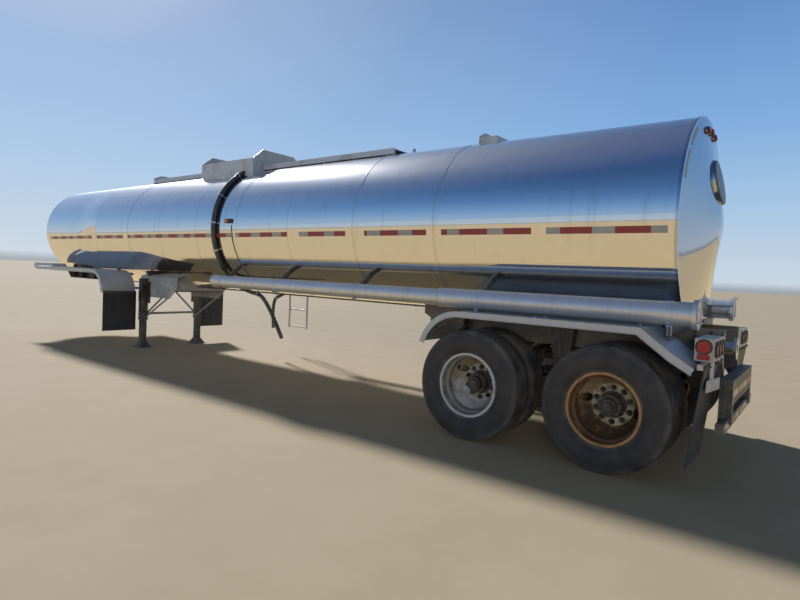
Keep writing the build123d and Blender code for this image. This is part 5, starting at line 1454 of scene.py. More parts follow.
@dataclass
class TopTrim:
    """What the crew handles on top: lid clamps and handle, vent knobs, walkway grip and coaming bolts."""

    manway_station: float = 6.340
    lid_top: float = 3.1505
    clamp_circle: float = 0.277
    clamp_turns: tuple[float, ...] = (30.0, 90.0, 150.0, 210.0, 270.0, 330.0)
    clamp_rods: tuple[tuple[float, float, float, int, float], ...] = (
        (0.0, 0.006, 0.019, 16, 0.019),
        (0.006, 0.058, 0.007, 12, 0.007),
        (0.008, 0.030, 0.014, 12, 0.012),
    )
    wing: Pairs = ((0.008, 0.018), (0.046, 0.040))
    wing_radii: Span = (0.007, 0.0095)
    grip_ahead: float = 0.262
    grip_half: float = 0.085
    grip_rise: float = 0.052
    grip_sink: float = 0.001
    bar_radius: float = 0.0075
    lug_circle: float = 0.278
    lug_height: float = 3.104
    lug: Block = Block((0.044, 0.036, 0.022), 0.004)
    vents: Points = (
        (5.700, 0.210, 3.205),
        (5.700, -0.210, 3.205),
        (5.800, 0.0, 3.150),
    )
    knob: Pairs = (
        (0.0, 0.0), (0.0, 0.026), (0.006, 0.026), (0.011, 0.018),
        (0.020, 0.016), (0.024, 0.010), (0.025, 0.0),
    )  # fmt: skip
    deck_top: float = 3.048
    deck_half: float = 0.256
    rib_along: float = 0.062
    rib_across: float = 0.043
    rib: Block = Block((0.034, 0.007, 0.005))
    rib_turn: float = 45.0
    decks: Pairs = ((2.990, 5.450), (6.830, 8.620))
    coaming: Span = (5.480, 6.800)
    coaming_side: float = 0.475
    coaming_foot: float = 2.925
    coaming_margin: float = 0.08
    coaming_bolts: int = 9
    coaming_head: Head = Head(0.009, 0.008)
    vent_head: Head = Head(0.007, 0.006)
    plate_bolts: Span = (0.35, 0.85)
    plate_height: float = 3.075
    vent_box_bolts: Pairs = ((1.645, 3.045), (1.770, 3.045))
    vent_box_side: float = 0.200

    def lid(self) -> None:
        """Makes the clamp screws with their wing nuts, and the lifting handle, on the lid."""
        builder = Builder("lid_clamps")
        for turn in self.clamp_turns:
            angle = math.radians(turn)
            out = Vector((math.cos(angle), math.sin(angle), 0))
            along = out.cross(UP)
            seat = spot(self.manway_station, 0, self.lid_top) + out * self.clamp_circle
            for low, high, radius, sides, tip in self.clamp_rods:
                builder.rod(seat + UP * low, seat + UP * high, radius, sides, tip)
            for way in (1, -1):
                foot, tip = (seat + UP * rise + along * (reach * way) for reach, rise in self.wing)
                builder.rod(foot, tip, self.wing_radii[0], 10, self.wing_radii[1])
        foot = self.lid_top - self.grip_sink
        corners = ((-1, 0.0), (-1, self.grip_rise), (1, self.grip_rise), (1, 0.0))
        ahead = self.manway_station + self.grip_ahead
        bar = [spot(ahead, self.grip_half * way, foot + rise) for way, rise in corners]
        builder.pipe(bar, self.bar_radius)
        builder.finish(Shop.fittings, Body.LID)

    def lugs(self) -> None:
        """Makes the clamp lugs on the manway neck and the knobs of the vents."""
        builder = Builder("manway_lugs")
        for turn in self.clamp_turns:
            angle = math.radians(turn)
            away = Vector((math.cos(angle), math.sin(angle), 0)) * self.lug_circle
            builder.slab(spot(self.manway_station, 0, self.lug_height) + away, self.lug, turn)
        for vent in self.vents:
            builder.lathe(self.knob, spot(*vent), UP, 24)
        builder.finish(Shop.fittings)

    def grip(self) -> None:
        """Makes the raised grip pattern of both walkways."""
        builder = Builder("walkway_grip")
        columns = int(2 * self.deck_half / self.rib_across)
        for rear, front in self.decks:
            for row in range(int((front - rear) / self.rib_along)):
                for column in range(columns + 1):
                    across = -self.deck_half + column * 2 * self.deck_half / columns
                    middle = spot(rear + (row + 0.5) * self.rib_along, across, self.deck_top)
                    builder.slab(middle, self.rib, self.rib_turn if (row + column) % 2 else -self.rib_turn)
        builder.finish(Shop.topside)

    def bolts(self) -> None:
        """Makes the bolts along the coaming's foot, on its end plates and on the vent box."""
        builder = Builder("topside_bolts")
        rear, front = self.coaming
        pitch = (front - rear - 2 * self.coaming_margin) / (self.coaming_bolts - 1)
        for side in Side:
            for index in range(self.coaming_bolts):
                station = rear + self.coaming_margin + index * pitch
                seat = side.spot(station, self.coaming_side, self.coaming_foot)
                builder.bolt(seat, side.out, self.coaming_head)
            for station, face in ((rear, BACK), (front, FORWARD)):
                for share in self.plate_bolts:
                    seat = side.spot(station, self.coaming_side * share, self.plate_height)
                    builder.bolt(seat, face, self.coaming_head)
            for station, height in self.vent_box_bolts:
                builder.bolt(side.spot(station, self.vent_box_side, height), side.out, self.vent_head)
        builder.finish(Shop.fittings)

    def build(self) -> None:
        """Makes every piece on top."""
        for step in (self.lid, self.lugs, self.grip, self.bolts):
            step()


@dataclass
class SideFittings:
    """Lamp wires down the jacket, clamps round the drain lines and their couplings."""

    wire_radius: float = 0.0042
    wire_start: Span = (5.300, 1.0)
    wire_end: Span = (5.238, -52.0)
    wire_steps: int = 14
    wire_bend: float = 1.5
    clips: tuple[int, ...] = (2, 6, 10)
    clip: Block = Block((0.030, 0.012, 0.012), 0.002)
    line_station: float = 5.690
    line_orbit: float = 0.9696
    line_radius: float = 0.033
    clamp_turns: tuple[float, ...] = (53.8, 28.0, 3.4, -20.0)
    clamp_width: float = 0.020
    clamp_walls: Span = (0.0006, 0.0042)
    clamp_arc: float = 270.0
    clamp_screw: Head = Head(0.006, 0.012, 0.010)
    screw_lift: float = 0.004
    coupling_turn: float = -36.0
    sleeve_ahead: float = 0.010
    clip_ahead: float = 0.030
    sleeve_clip: Band = Band(0.0335, 0.0385, 0.012)
    sleeve: Pairs = (
        (-0.0425, 0.028), (-0.0425, 0.036), (-0.02125, 0.038),
        (0.02125, 0.036), (0.0425, 0.031), (0.0425, 0.028),
    )  # fmt: skip

    def _line_frame(self, turn: float, side: Side) -> tuple[Vector, Vector, Vector]:
        """Frame of a drain line.

        Args:
            turn: Degrees above level.
            side: Its side.

        Returns:
            The line's middle there, the way out of the jacket and the way down along the line.
        """
        y, z = around(turn, self.line_orbit)
        angle = math.radians(turn)
        out = side.out * math.cos(angle) + UP * math.sin(angle)
        run = side.out * math.sin(angle) + DOWN * math.cos(angle)
        return side.spot(self.line_station, y, z), out, run

    def wires(self) -> None:
        """Makes the wire from each side lamp down the jacket, with its clips."""
        wire, clips = Builder("lamp_wires"), Builder("wire_clips")
        (start, high), (end, low) = self.wire_start, self.wire_end
        for side in Side:
            points = []
            for step in range(self.wire_steps + 1):
                share = step / self.wire_steps
                y, z = around(high + (low - high) * share, BARREL_RADIUS + self.wire_radius)
                points.append(side.spot(start + (end - start) * share**self.wire_bend, y, z))
            wire.pipe(points, self.wire_radius)
            for point in (points[index] for index in self.clips):
                turn = math.degrees(math.atan2(point.z - BARREL_Z, point.y))
                clips.slab(point, self.clip, turn, "X")
        wire.finish(Shop.housing)
        clips.finish(Shop.fittings)

    def clamps(self) -> None:
        """Makes the band clamps round both drain lines, open where they meet the jacket."""
        builder = Builder("drain_clamps")
        half = self.clamp_width / 2
        inner, outer = (self.line_radius + wall for wall in self.clamp_walls)
        profile = ((-half, inner), (-half, outer), (half, outer), (half, inner))
        arc = math.radians(self.clamp_arc)
        for side in Side:
            for turn in self.clamp_turns:
                middle, out, run = self._line_frame(turn, side)
                start = Matrix.Rotation(-arc / 2, 3, run) @ out
                builder.lathe(profile, middle, run, 28, arc, start, closed=True, capped=True)
                builder.bolt(middle + out * (outer + self.screw_lift), FORWARD, self.clamp_screw)
        builder.finish(Shop.fittings)

    def couplings(self) -> None:
        """Makes the sleeve where each hose pushes on to its line, and its clip."""
        builder = Builder("hose_couplings")
        for side in Side:
            middle, _, run = self._line_frame(self.coupling_turn, side)
            builder.lathe(self.sleeve, middle + run * self.sleeve_ahead, run, 28, closed=True)
            builder.ring(middle + run * self.clip_ahead, run, self.sleeve_clip, 28)
        builder.finish(Shop.nuts)

    def build(self) -> None:
        """Makes the wires, clamps and couplings."""
        for step in (self.wires, self.clamps, self.couplings):
            step()


@dataclass
class TubeTrim:
    """Draw bolts under the tube straps, the rear tie rods, rolled rings and the doors' latches."""

    side: float = 0.930
    height: float = 1.305
    straps: Pairs = ((-0.395, 0.099), (1.300, 0.099), (2.900, 0.088), (4.300, 0.088), (5.450, 0.088))
    lug_turn: float = -62.0
    lug: Block = Block((0.032, 0.026, 0.005), 0.001)
    lug_apart: float = 0.011
    bolt_apart: float = 0.014
    strap_head: Head = Head(0.008, 0.009, 0.004)
    strap_bolt: float = 0.005
    lug_lift: float = 0.010
    tie_side: float = 0.934
    tie_radius: float = 0.0032
    tie_spread: float = 0.015
    tie_points: Pairs = ((1.0, 1.208), (1.0, 1.154), (0.8, 1.128))
    joint_station: float = 1.744
    joint: Band = Band(0.0852, 0.0985, 0.013)
    cap_station: float = 5.665
    cap: Band = Band(0.084, 0.088, 0.030)
    cap_rings: tuple[Band, ...] = (Band(0.026, 0.030, 0.003), Band(0.054, 0.058, 0.003))
    door_face: float = -0.595
    door_rings: tuple[Band, ...] = (Band(0.102, 0.112, 0.004), Band(0.052, 0.058, 0.003))
    latch_out: float = 0.008
    latch_rise: float = 0.114
    latch_half: float = 0.026
    latch_head: Head = Head(0.009, 0.010, 0.012)
    bar_reach: float = 0.012
    bar_radius: float = 0.004
    pull_half: float = 0.030
    pull_radius: float = 0.0045
    pull_drop: float = 0.060
    pull_reach: float = 0.022
    pull_sink: float = 0.001

    def draw_bolts(self, side: Side) -> None:
        """Makes the two lugs and the bolt that close each strap on one side; the front one is rusty.

        Args:
            side: The side.
        """
        plain, rusty = Builder(f"strap_bolts_{side.label}"), Builder(f"front_strap_bolt_{side.label}")
        angle = math.radians(self.lug_turn)
        out = side.out * math.cos(angle) + UP * math.sin(angle)
        along = side.out * -math.sin(angle) + UP * math.cos(angle)
        for station, radius in self.straps:
            builder = rusty if station == self.straps[-1][0] else plain
            seat = side.spot(station, self.side, self.height) + out * (radius + self.lug_lift)
            for step in (1, -1):
                lug = seat + along * (self.lug_apart * step)
                builder.slab(lug, self.lug, side.value * self.lug_turn, "X")
                builder.bolt(seat + along * (self.bolt_apart * step), along * step, self.strap_head)
            half = along * self.bolt_apart
            builder.rod(seat - half, seat + half, self.strap_bolt, 10)
        plain.finish(Shop.fittings)
        rusty.finish(Shop.rusty)

    def tie_rods(self) -> None:
        """Makes the two thin rods from each rear strap to its ring."""
        builder = Builder("ring_ties")
        station = self.straps[0][0]
        for side in Side:
            for step in (1, -1):
                spread = self.tie_spread * step
                run = [side.spot(station + spread * share, self.tie_side, z) for share, z in self.tie_points]
                builder.pipe(run, self.tie_radius)
        builder.finish(Shop.tubes)

    def rings(self) -> None:
        """Makes the rolled lip where the tube narrows and the flanged cap at its front end."""
        builder = Builder("tube_rings")
        for side in Side:
            front = side.spot(self.cap_station, self.side, self.height)
            builder.ring(side.spot(self.joint_station, self.side, self.height), FORWARD, self.joint)
            builder.ring(front + BACK * self.cap.height, FORWARD, self.cap)
            for band in self.cap_rings:
                builder.ring(front, FORWARD, band)
        builder.finish(Shop.tubes)

    def doors(self) -> None:
        """Makes the pressed ring, latch and pull of each tube door."""
        for side, body in ((Side.LEFT, Body.DOOR_LEFT), (Side.RIGHT, Body.DOOR_RIGHT)):
            builder = Builder(f"door_latch_{side.label}")
            middle = side.spot(self.door_face, self.side, self.height)
            for band in self.door_rings:
                builder.ring(middle, BACK, band)
            latch = middle + Vector((-self.latch_out, 0, self.latch_rise))
            builder.bolt(latch, BACK, self.latch_head)
            bar, half = latch + BACK * self.bar_reach, LEFTWARD * self.latch_half
            builder.rod(bar - half, bar + half, self.bar_radius, 10)
            out = -self.pull_reach
            corners = ((self.pull_sink, -1), (out, -1), (out, 1), (self.pull_sink, 1))
            pull = [middle + Vector((x, self.pull_half * way, -self.pull_drop)) for x, way in corners]
            builder.pipe(pull, self.pull_radius)
            builder.finish(Shop.fittings, body)

    def build(self) -> None:
        """Makes the trim of both tubes."""
        for side in Side:
            self.draw_bolts(side)
        for step in (self.tie_rods, self.rings, self.doors):
            step()


@dataclass
class FenderTrim:
    """Rolled edges, bolts and stays of the tandem fenders and the front decks."""

    outer: float = 1.198
    bead: float = 0.0058
    fender_flat: Span = (1.373, 1.192)
    fender_tip: Span = (1.800, 0.871)
    fender_rear: Pairs = ((-0.248, 1.192), (-0.481, 1.020), (-0.628, 0.930))
    rear_insets: tuple[float, ...] = (0.026, 0.026, 0.013)
    fender_lip: float = 0.052
    deck_flat: Span = (8.990, 1.370)
    deck_fall: Span = (8.583, 0.984)
    deck_tip: Pairs = ((11.520, 1.370), (11.630, 1.430))
    deck_lip: float = 0.060
    arm_stations: tuple[float, ...] = (1.310, 0.6225, -0.180)
    outriggers: tuple[float, ...] = (9.300, 10.300, 11.200)
    bolt_sides: tuple[float, ...] = (0.700, 0.930, 1.150)
    head: Head = Head(0.009, 0.007)
    stay_sides: tuple[float, ...] = (0.640, 1.160)
    stay_runs: tuple[tuple[float, Pairs], ...] = (
        (0.010, ((1.310, 1.150), (1.520, 1.080), (1.735, 0.930))),
        (0.009, ((-0.180, 1.150), (-0.330, 1.050), (-0.500, 0.975))),
    )
    arc_steps: int = 14

    def _arc(
        self, flat: Span, end: Span, inset: float, forward: int
    ) -> list[Span]:
        """Points of a quarter fall, moved inwards.

        Args:
            flat: Station and height where the level stretch ends.
            end: Station and height of the fall's end.
            inset: How far the line is moved inwards.
            forward: 1 if it falls forwards, -1 if rearwards.

        Returns:
            Stations and heights from the fall's end to the level stretch.
        """
        run, fall = abs(end[0] - flat[0]), flat[1] - end[1]
        radius = (run**2 + fall**2) / (2 * fall)
        turn, away = math.asin(run / radius), radius - inset
        angles = [turn * step / self.arc_steps for step in range(self.arc_steps, -1, -1)]
        return [
            (flat[0] + forward * away * math.sin(angle), flat[1] - radius + away * math.cos(angle))
            for angle in angles
        ]

    def edges(self) -> None:
        """Makes the rolled edge along the outer lips."""
        builder = Builder("fender_edges")
        fender = self._arc(self.fender_flat, self.fender_tip, self.fender_lip, 1)
        for (station, height), inset in zip(self.fender_rear, self.rear_insets):
            fender.append((station + inset, height - self.fender_lip))
        deck = self._arc(self.deck_flat, self.deck_fall, self.deck_lip, -1)
        deck += [(station, height - self.deck_lip) for station, height in self.deck_tip]
        for side in Side:
            for path in (fender, deck):
                builder.pipe([side.spot(station, self.outer, height) for station, height in path], self.bead)
        builder.finish(Shop.fenders)

    def bolts(self) -> None:
        """Makes the carriage bolts that hold the sheets to their arms."""
        builder = Builder("fender_bolts")
        for stations, top in ((self.arm_stations, self.fender_flat[1]), (self.outriggers, self.deck_flat[1])):
            for station in stations:
                for side in Side:
                    for reach in self.bolt_sides:
                        builder.bolt(side.spot(station, reach, top), UP, self.head)
        builder.finish(Shop.fittings)

    def stays(self) -> None:
        """Makes the round stays under the fenders' front and rear falls."""
        builder = Builder("fender_stays")
        for side in Side:
            for reach in self.stay_sides:
                for radius, run in self.stay_runs:
                    builder.pipe([side.spot(station, reach, height) for station, height in run], radius)
        builder.finish(Shop.chassis)

    def build(self) -> None:
        """Makes the trim of the fenders and decks."""
        for step in (self.edges, self.bolts, self.stays):
            step()


@dataclass
class ChassisTrim:
    """U-bolts, pivot bolts, brake chamber bands and air pipes of the running gear."""

    spring_side: float = 0.470
    bolt_reach: float = 0.056
    bolt_spread: float = 0.067
    bolt_radius: float = 0.009
    pad: Block = Block((0.170, 0.170, 0.018), 0.003)
    u_nut: Head = Head(0.016, 0.018, 0.022)
    pad_foot: float = 0.428
    leaf_top: float = 0.700
    chamber_side: float = 0.250
    chamber_height: float = 0.576
    chamber_span: Span = (-0.260, -0.110)
    chamber_bands: Span = (0.34, 0.72)
    chamber_top: float = 0.654
    chamber_band: Band = Band(0.079, 0.087, 0.014)
    lug_reach: float = 0.088
    lug_drop: float = 0.016
    lug_bolt: Head = Head(0.007, 0.030, 0.008)
    push_rod: Span = (0.030, 0.010)
    port: tuple[float, float, float] = (0.035, 0.020, 0.009)
    hanger_face: float = 0.520
    hangers: tuple[float, ...] = (1.790, 0.6225, -0.545)
    hanger_clear: float = 0.10
    hanger_half: float = 0.045
    hanger_top: float = 0.930
    hanger_head: Head = Head(0.012, 0.010)
    pivot_height: float = 0.742
    pivot_head: Head = Head(0.024, 0.018, 0.012)
    rod_face: float = 0.500
    rod_pins: Pairs = ((0.520, 0.640), (0.1075, 0.600))
    rod_head: Head = Head(0.016, 0.014, 0.008)
    rail_face: float = 0.420
    rail_bolts: int = 9
    rail_start: float = -0.60
    rail_pitch: float = 0.33
    rail_height: float = 0.925
    rail_head: Head = Head(0.009, 0.008)
    foot_heights: Span = (1.105, 1.145)
    foot_half: float = 0.060
    foot_head: Head = Head(0.011, 0.010)
    pipe_side: float = 0.055
    pipe_radius: float = 0.0075
    clip_height: float = 1.139
    pipe_run: Pairs = (
        (10.250, 1.138), (2.420, 1.138), (2.300, 0.985), (0.980, 0.985), (0.820, 0.930), (0.710, 0.915),
    )  # fmt: skip
    pipe_clips: int = 7
    pipe_clip: Block = Block((0.030, 0.030, 0.018), 0.003)
    clip_start: float = 2.70
    clip_pitch: float = 1.24
    tee: Block = Block((0.040, 0.050, 0.030), 0.004)
    tee_height: float = 0.591
    brake_radius: float = 0.005
    brake_run: Points = (
        (-0.225, 0.250, 0.670),
        (-0.205, 0.230, 0.695),
        (-0.075, 0.150, 0.616),
        (0.0, 0.110, 0.594),
        (0.0, 0.020, 0.591),
    )

    def u_bolts(self) -> None:
        """Makes the U-bolts, their nuts and the plates under the axles."""
        builder = Builder("axle_u_bolts")
        pad_middle = self.pad_foot + self.pad.size[2] / 2
        for station in AXLES.values():
            for side in Side:
                builder.slab(side.spot(station, self.spring_side, pad_middle), self.pad)
                for step in (1, -1):
                    x, middle = station + step * self.bolt_reach, side.value * self.spring_side
                    inner, outer = middle - self.bolt_spread, middle + self.bolt_spread
                    feet = [spot(x, y, self.pad_foot) for y in (inner, outer)]
                    tops = [spot(x, y, self.leaf_top) for y in (inner, outer)]
                    builder.pipe([feet[0], *tops, feet[1]], self.bolt_radius)
                    for foot in feet:
                        builder.bolt(foot, DOWN, self.u_nut)
        builder.finish(Shop.chassis)

    def pivots(self) -> None:
        """Makes the pivot bolts of the hangers, springs and radius rods, and the rails' bolts."""
        builder = Builder("pivot_bolts")
        for side in Side:
            for station in self.hangers:
                seat = side.spot(station, self.hanger_face, self.pivot_height)
                builder.bolt(seat, side.out, self.pivot_head)
                for step in (1, -1):
                    seat = side.spot(station + self.hanger_half * step, self.hanger_face, self.hanger_top)
                    builder.bolt(seat, side.out, self.hanger_head)
                    for height in self.foot_heights:
                        seat = side.spot(station + self.foot_half * step, self.rail_face, height)
                        builder.bolt(seat, side.out, self.foot_head)
            for station in AXLES.values():
                for ahead, height in self.rod_pins:
                    seat = side.spot(station + ahead, self.rod_face, height)
                    builder.bolt(seat, side.out, self.rod_head)
            for index in range(self.rail_bolts):
                station = self.rail_start + self.rail_pitch * index
                if all(abs(station - hanger) > self.hanger_clear for hanger in self.hangers):
                    seat = side.spot(station, self.rail_face, self.rail_height)
                    builder.bolt(seat, side.out, self.rail_head)
        builder.finish(Shop.chassis)

    def chambers(self) -> None:
        """Makes the clamp band, ports and push rod of each brake chamber."""
        builder = Builder("brake_chamber_bands")
        rear, front = self.chamber_span
        for station in AXLES.values():
            for side in Side:
                for share in self.chamber_bands:
                    place = station + rear + (front - rear) * share
                    middle = side.spot(place, self.chamber_side, self.chamber_height)
                    builder.ring(middle, FORWARD, self.chamber_band)
                    for across in (self.lug_reach, -self.lug_reach):
                        seat = middle + Vector((self.chamber_band.height / 2, across, -self.lug_drop))
                        builder.bolt(seat, UP, self.lug_bolt)
                length, radius = self.push_rod
                rod = side.spot(station + front, self.chamber_side, self.chamber_height)
                builder.rod(rod, rod + FORWARD * length, radius, 12)
                ahead, height, radius = self.port
                port = side.spot(station + rear + ahead, self.chamber_side, self.chamber_top)
                builder.rod(port, port + UP * height, radius, 6)
        builder.finish(Shop.nuts)

    def air_pipes(self) -> None:
        """Makes the two air pipes along the belly to the tank, and the brake pipes on the axles."""
        builder = Builder("air_pipes")
        for side in Side:
            run = [side.spot(station, self.pipe_side, height) for station, height in self.pipe_run]
            builder.pipe(run, self.pipe_radius)
            for index in range(self.pipe_clips):
                station = self.clip_start + index * self.clip_pitch
                clip = side.spot(station, self.pipe_side, self.clip_height)
                builder.slab(clip, self.pipe_clip)
        for station in AXLES.values():
            builder.slab(spot(station, 0, self.tee_height), self.tee)
            for side in Side:
                run = [side.spot(station + ahead, reach, height) for ahead, reach, height in self.brake_run]
                builder.pipe(run, self.brake_radius, True)
        builder.finish(Shop.housing)

    def build(self) -> None:
        """Makes the trim of the running gear."""
        for step in (self.u_bolts, self.pivots, self.chambers, self.air_pipes):
            step()


@dataclass
class RearTrim:
    """Lamp grommets, guard tape, plate bolts, flap bars and the outlet's lever at the rear."""

    box_side: float = 0.980
    box_face: float = -0.717
    box_edges: tuple[tuple[float, float, Block], ...] = (
        (-0.652, 0.968, Block((0.132, 0.004, 0.007), 0.001)),
        (-0.652, 1.132, Block((0.132, 0.004, 0.007), 0.001)),
        (-0.713, 1.050, Block((0.007, 0.004, 0.170), 0.001)),
        (-0.591, 1.050, Block((0.007, 0.004, 0.170), 0.001)),
    )
    box_head: Head = Head(0.0045, 0.004)
    box_screws: Pairs = ((-0.704, 0.978), (-0.704, 1.122), (-0.600, 0.978), (-0.600, 1.122))
    rail_side: float = 0.424
    # Pale strips on the rails' rear ends: a painted highlight of the rails' lit edges.
    rail_end_highlights: tuple[tuple[float, float, Block, float], ...] = (
        (-0.707, 1.030, Block((0.004, 0.036, 0.250), 0.001), 0.0),
        (-0.715, 0.853, Block((0.004, 0.030, 0.104), 0.001), 8.5),
    )
    side_lamp: Span = (-0.651, 1.074)
    side_grommet: Band = Band(0.046, 0.059, 0.009)
    rear_lamps: tuple[float, ...] = (0.870, 0.735, 0.600)
    rear_lamp_height: float = 1.052
    rear_grommet: Band = Band(0.050, 0.064, 0.016)
    beam_face: float = -0.815
    bands: tuple[tuple[float, float, Span, float], ...] = (
        (-0.815, 0.608, (0.660, 0.712), 0.304),
        (-0.800, 0.852, (0.425, 0.475), 0.284),
    )
    band_gap: float = 0.002
    uprights: Pairs = ((0.756, 0.080), (0.630, 0.052))
    upright_side: float = 0.592
    upright_width: float = 0.030
    tape_thickness: float = 0.0012
    tape_bevel: float = 0.0001
    tape_lift: float = 0.00015
    plate_middle: Point = (-0.722, 0.962, 0.798)
    plate_yaw: float = 8.0
    rim_half: Span = (0.142, 0.037)
    rim_radius: float = 0.0022
    plate_lift: float = 0.0032
    screw: Span = (0.105, 0.024)
    screw_head: Head = Head(0.006, 0.005)
    flaps: Pairs = ((-0.698, 0.938), (8.545, 0.978))
    flap_side: float = 0.910
    flap_bar: Block = Block((0.006, 0.575, 0.030), 0.0015)
    flap_bolts: tuple[float, ...] = (0.660, 0.785, 0.910, 1.035, 1.160)
    flap_head: Head = Head(0.009, 0.007, 0.006)
    outlet: Point = (-0.640, 0.0, 0.998)
    outlet_bolts: Bolts = Bolts(8, 0.064, Head(0.0085, 0.008, 0.005))
    stem: Point = (-0.595, 0.0, 1.072)
    stem_rods: tuple[tuple[float, float, float, int], ...] = (
        (0.0, 0.022, 0.020, 16),
        (0.022, 0.040, 0.011, 12),
    )
    lever_rise: float = 0.036
    lever_radius: float = 0.0075
    knob_radii: Span = (0.012, 0.010)
    lever: Points = ((0.0, 0.0, 0.0), (-0.012, 0.050, 0.004), (-0.020, 0.190, 0.012))
    knob: Points = ((-0.018, 0.150, 0.010), (-0.021, 0.205, 0.013))

    def grommets(self) -> None:
        """Makes the rubber grommets round the lamps on the light boxes."""
        builder = Builder("lamp_grommets")
        for side in Side:
            station, height = self.side_lamp
            middle = side.spot(station, self.box_side, height)
            builder.ring(middle, side.out, self.side_grommet)
            for reach in self.rear_lamps:
                middle = side.spot(self.box_face, reach, self.rear_lamp_height)
                builder.ring(middle, BACK, self.rear_grommet)
        builder.finish(Shop.housing)

    def box_seams(self) -> None:
        """Makes the folded edges and the screws of the light boxes, and pale strips on the rails' ends that
        are a painted highlight of their lit edges.
        """
        builder = Builder("light_box_edges")
        for side in Side:
            for station, height, edge in self.box_edges:
                builder.slab(side.spot(station, self.box_side, height), edge)
            for station, height in self.box_screws:
                builder.bolt(side.spot(station, self.box_side, height), side.out, self.box_head)
            # Pale strips at the rails' ends: painted highlight.
            for station, height, end, turn in self.rail_end_highlights:
                builder.slab(side.spot(station, self.rail_side, height), end, turn, "Y")
        builder.finish(Shop.boxes)

    def tape(self) -> None:
        """Makes the tape on the guard's beam and lower bar."""
        red, white = Builder("guard_red_tape"), Builder("guard_white_tape")
        sunk = FORWARD * (self.tape_thickness / 2 - self.tape_lift)
        for face, half, (low, high), run in self.bands:
            count = round(2 * half / run)
            run = 2 * half / count
            strip = Block((self.tape_thickness, run - self.band_gap, high - low), self.tape_bevel)
            for index in range(count):
                target = white if index % 2 == 0 else red
                target.slab(spot(face, half - run * (index + 0.5), (low + high) / 2) + sunk, strip)
        for side in Side:
            for height, tall in self.uprights:
                middle = side.spot(self.beam_face, self.upright_side, height) + sunk
                white.slab(middle, Block((self.tape_thickness, self.upright_width, tall), self.tape_bevel))
        red.finish(Shop.red_tape)
        white.finish(Shop.white_tape)

    def plate(self) -> None:
        """Makes the raised rim and the screws of the blank plate."""
        builder = Builder("plate_rim")
        yaw = math.radians(self.plate_yaw)
        out = Vector((-math.cos(yaw), math.sin(yaw), 0))
        along = Vector((math.sin(yaw), math.cos(yaw), 0))
        middle = spot(*self.plate_middle) + out * self.plate_lift
        wide, tall = along * self.rim_half[0], UP * self.rim_half[1]
        corners = ((1, 1), (-1, 1), (-1, -1), (1, -1), (1, 1))
        builder.pipe([middle + wide * across + tall * up for across, up in corners], self.rim_radius)
        for way in (1, -1):
            builder.bolt(middle + along * (self.screw[0] * way) + UP * self.screw[1], out, self.screw_head)
        builder.finish(Shop.blank)

    def flap_bars(self) -> None:
        """Makes the clamping bars and bolts along the tops of the mud flaps."""
        builder = Builder("flap_bars")
        for face, height in self.flaps:
            for side in Side:
                thickness = self.flap_bar.size[0]
                builder.slab(side.spot(face - thickness / 2, self.flap_side, height), self.flap_bar)
                for reach in self.flap_bolts:
                    builder.bolt(side.spot(face - thickness, reach, height), BACK, self.flap_head)
        builder.finish(Shop.nuts)

    def outlet_lever(self) -> None:
        """Makes the outlet valve's stem, lever and body bolts."""
        builder = Builder("outlet_lever")
        stem = spot(*self.stem)
        for low, high, radius, sides in self.stem_rods:
            builder.rod(stem + UP * low, stem + UP * high, radius, sides)
        top = stem + UP * self.lever_rise
        builder.pipe([top + Vector(away) for away in self.lever], self.lever_radius, True)
        foot, tip = (top + Vector(away) for away in self.knob)
        builder.rod(foot, tip, self.knob_radii[0], 12, self.knob_radii[1])
        builder.bolts(spot(*self.outlet), BACK, LEFTWARD, self.outlet_bolts)
        builder.finish(Shop.fittings)

    def build(self) -> None:
        """Makes the trim at the rear and the bars of all four flaps."""
        for step in (self.grommets, self.box_seams, self.tape, self.plate, self.flap_bars, self.outlet_lever):
            step()


@dataclass
class LandingTrim:
    """Bolts, collars, gearbox cover and foot pins of the landing gear."""

    station: float = 8.430
    side: float = 0.545
    wing_face: float = 0.498
    wing_reach: float = 0.107
    wing_heights: tuple[float, ...] = (0.835, 0.945, 1.055, 1.150)
    wing_head: Head = Head(0.012, 0.011, 0.006)
    collars: tuple[tuple[float, Block], ...] = (
        (0.515, Block((0.126, 0.126, 0.032), 0.004)),
        (1.236, Block((0.126, 0.126, 0.010), 0.003)),
    )
    pin_height: float = 0.082
    pin_half: float = 0.082
    pin_radius: float = 0.012
    washer_reach: float = 0.074
    pin_washer: Head = Head(0.018, 0.010)
    cover_side: float = 0.608
    cover_height: float = 0.925
    cover: Block = Block((0.100, 0.012, 0.190), 0.004)
    cover_head: Head = Head(0.007, 0.006)
    cover_bolts: Pairs = ((0.037, -0.080), (0.037, 0.080), (-0.037, -0.080), (-0.037, 0.080))

    def build(self) -> None:
        """Makes the trim of both legs."""
        builder = Builder("landing_leg_trim")
        for side in Side:
            for step in (1, -1):
                for height in self.wing_heights:
                    seat = side.spot(self.station + self.wing_reach * step, self.wing_face, height)
                    builder.bolt(seat, side.out, self.wing_head)
            for height, collar in self.collars:
                builder.slab(side.spot(self.station, self.side, height), collar)
            pin = side.spot(self.station, self.side, self.pin_height)
            builder.rod(pin + BACK * self.pin_half, pin + FORWARD * self.pin_half, self.pin_radius, 12)
            for way in (FORWARD, BACK):
                builder.bolt(pin + way * self.washer_reach, way, self.pin_washer)
            cover = side.spot(self.station, self.cover_side, self.cover_height)
            builder.slab(cover, self.cover)
            face = cover + side.out * (self.cover.size[1] / 2)
            for ahead, above in self.cover_bolts:
                builder.bolt(face + FORWARD * ahead + UP * above, side.out, self.cover_head)
        builder.finish(Shop.legs)


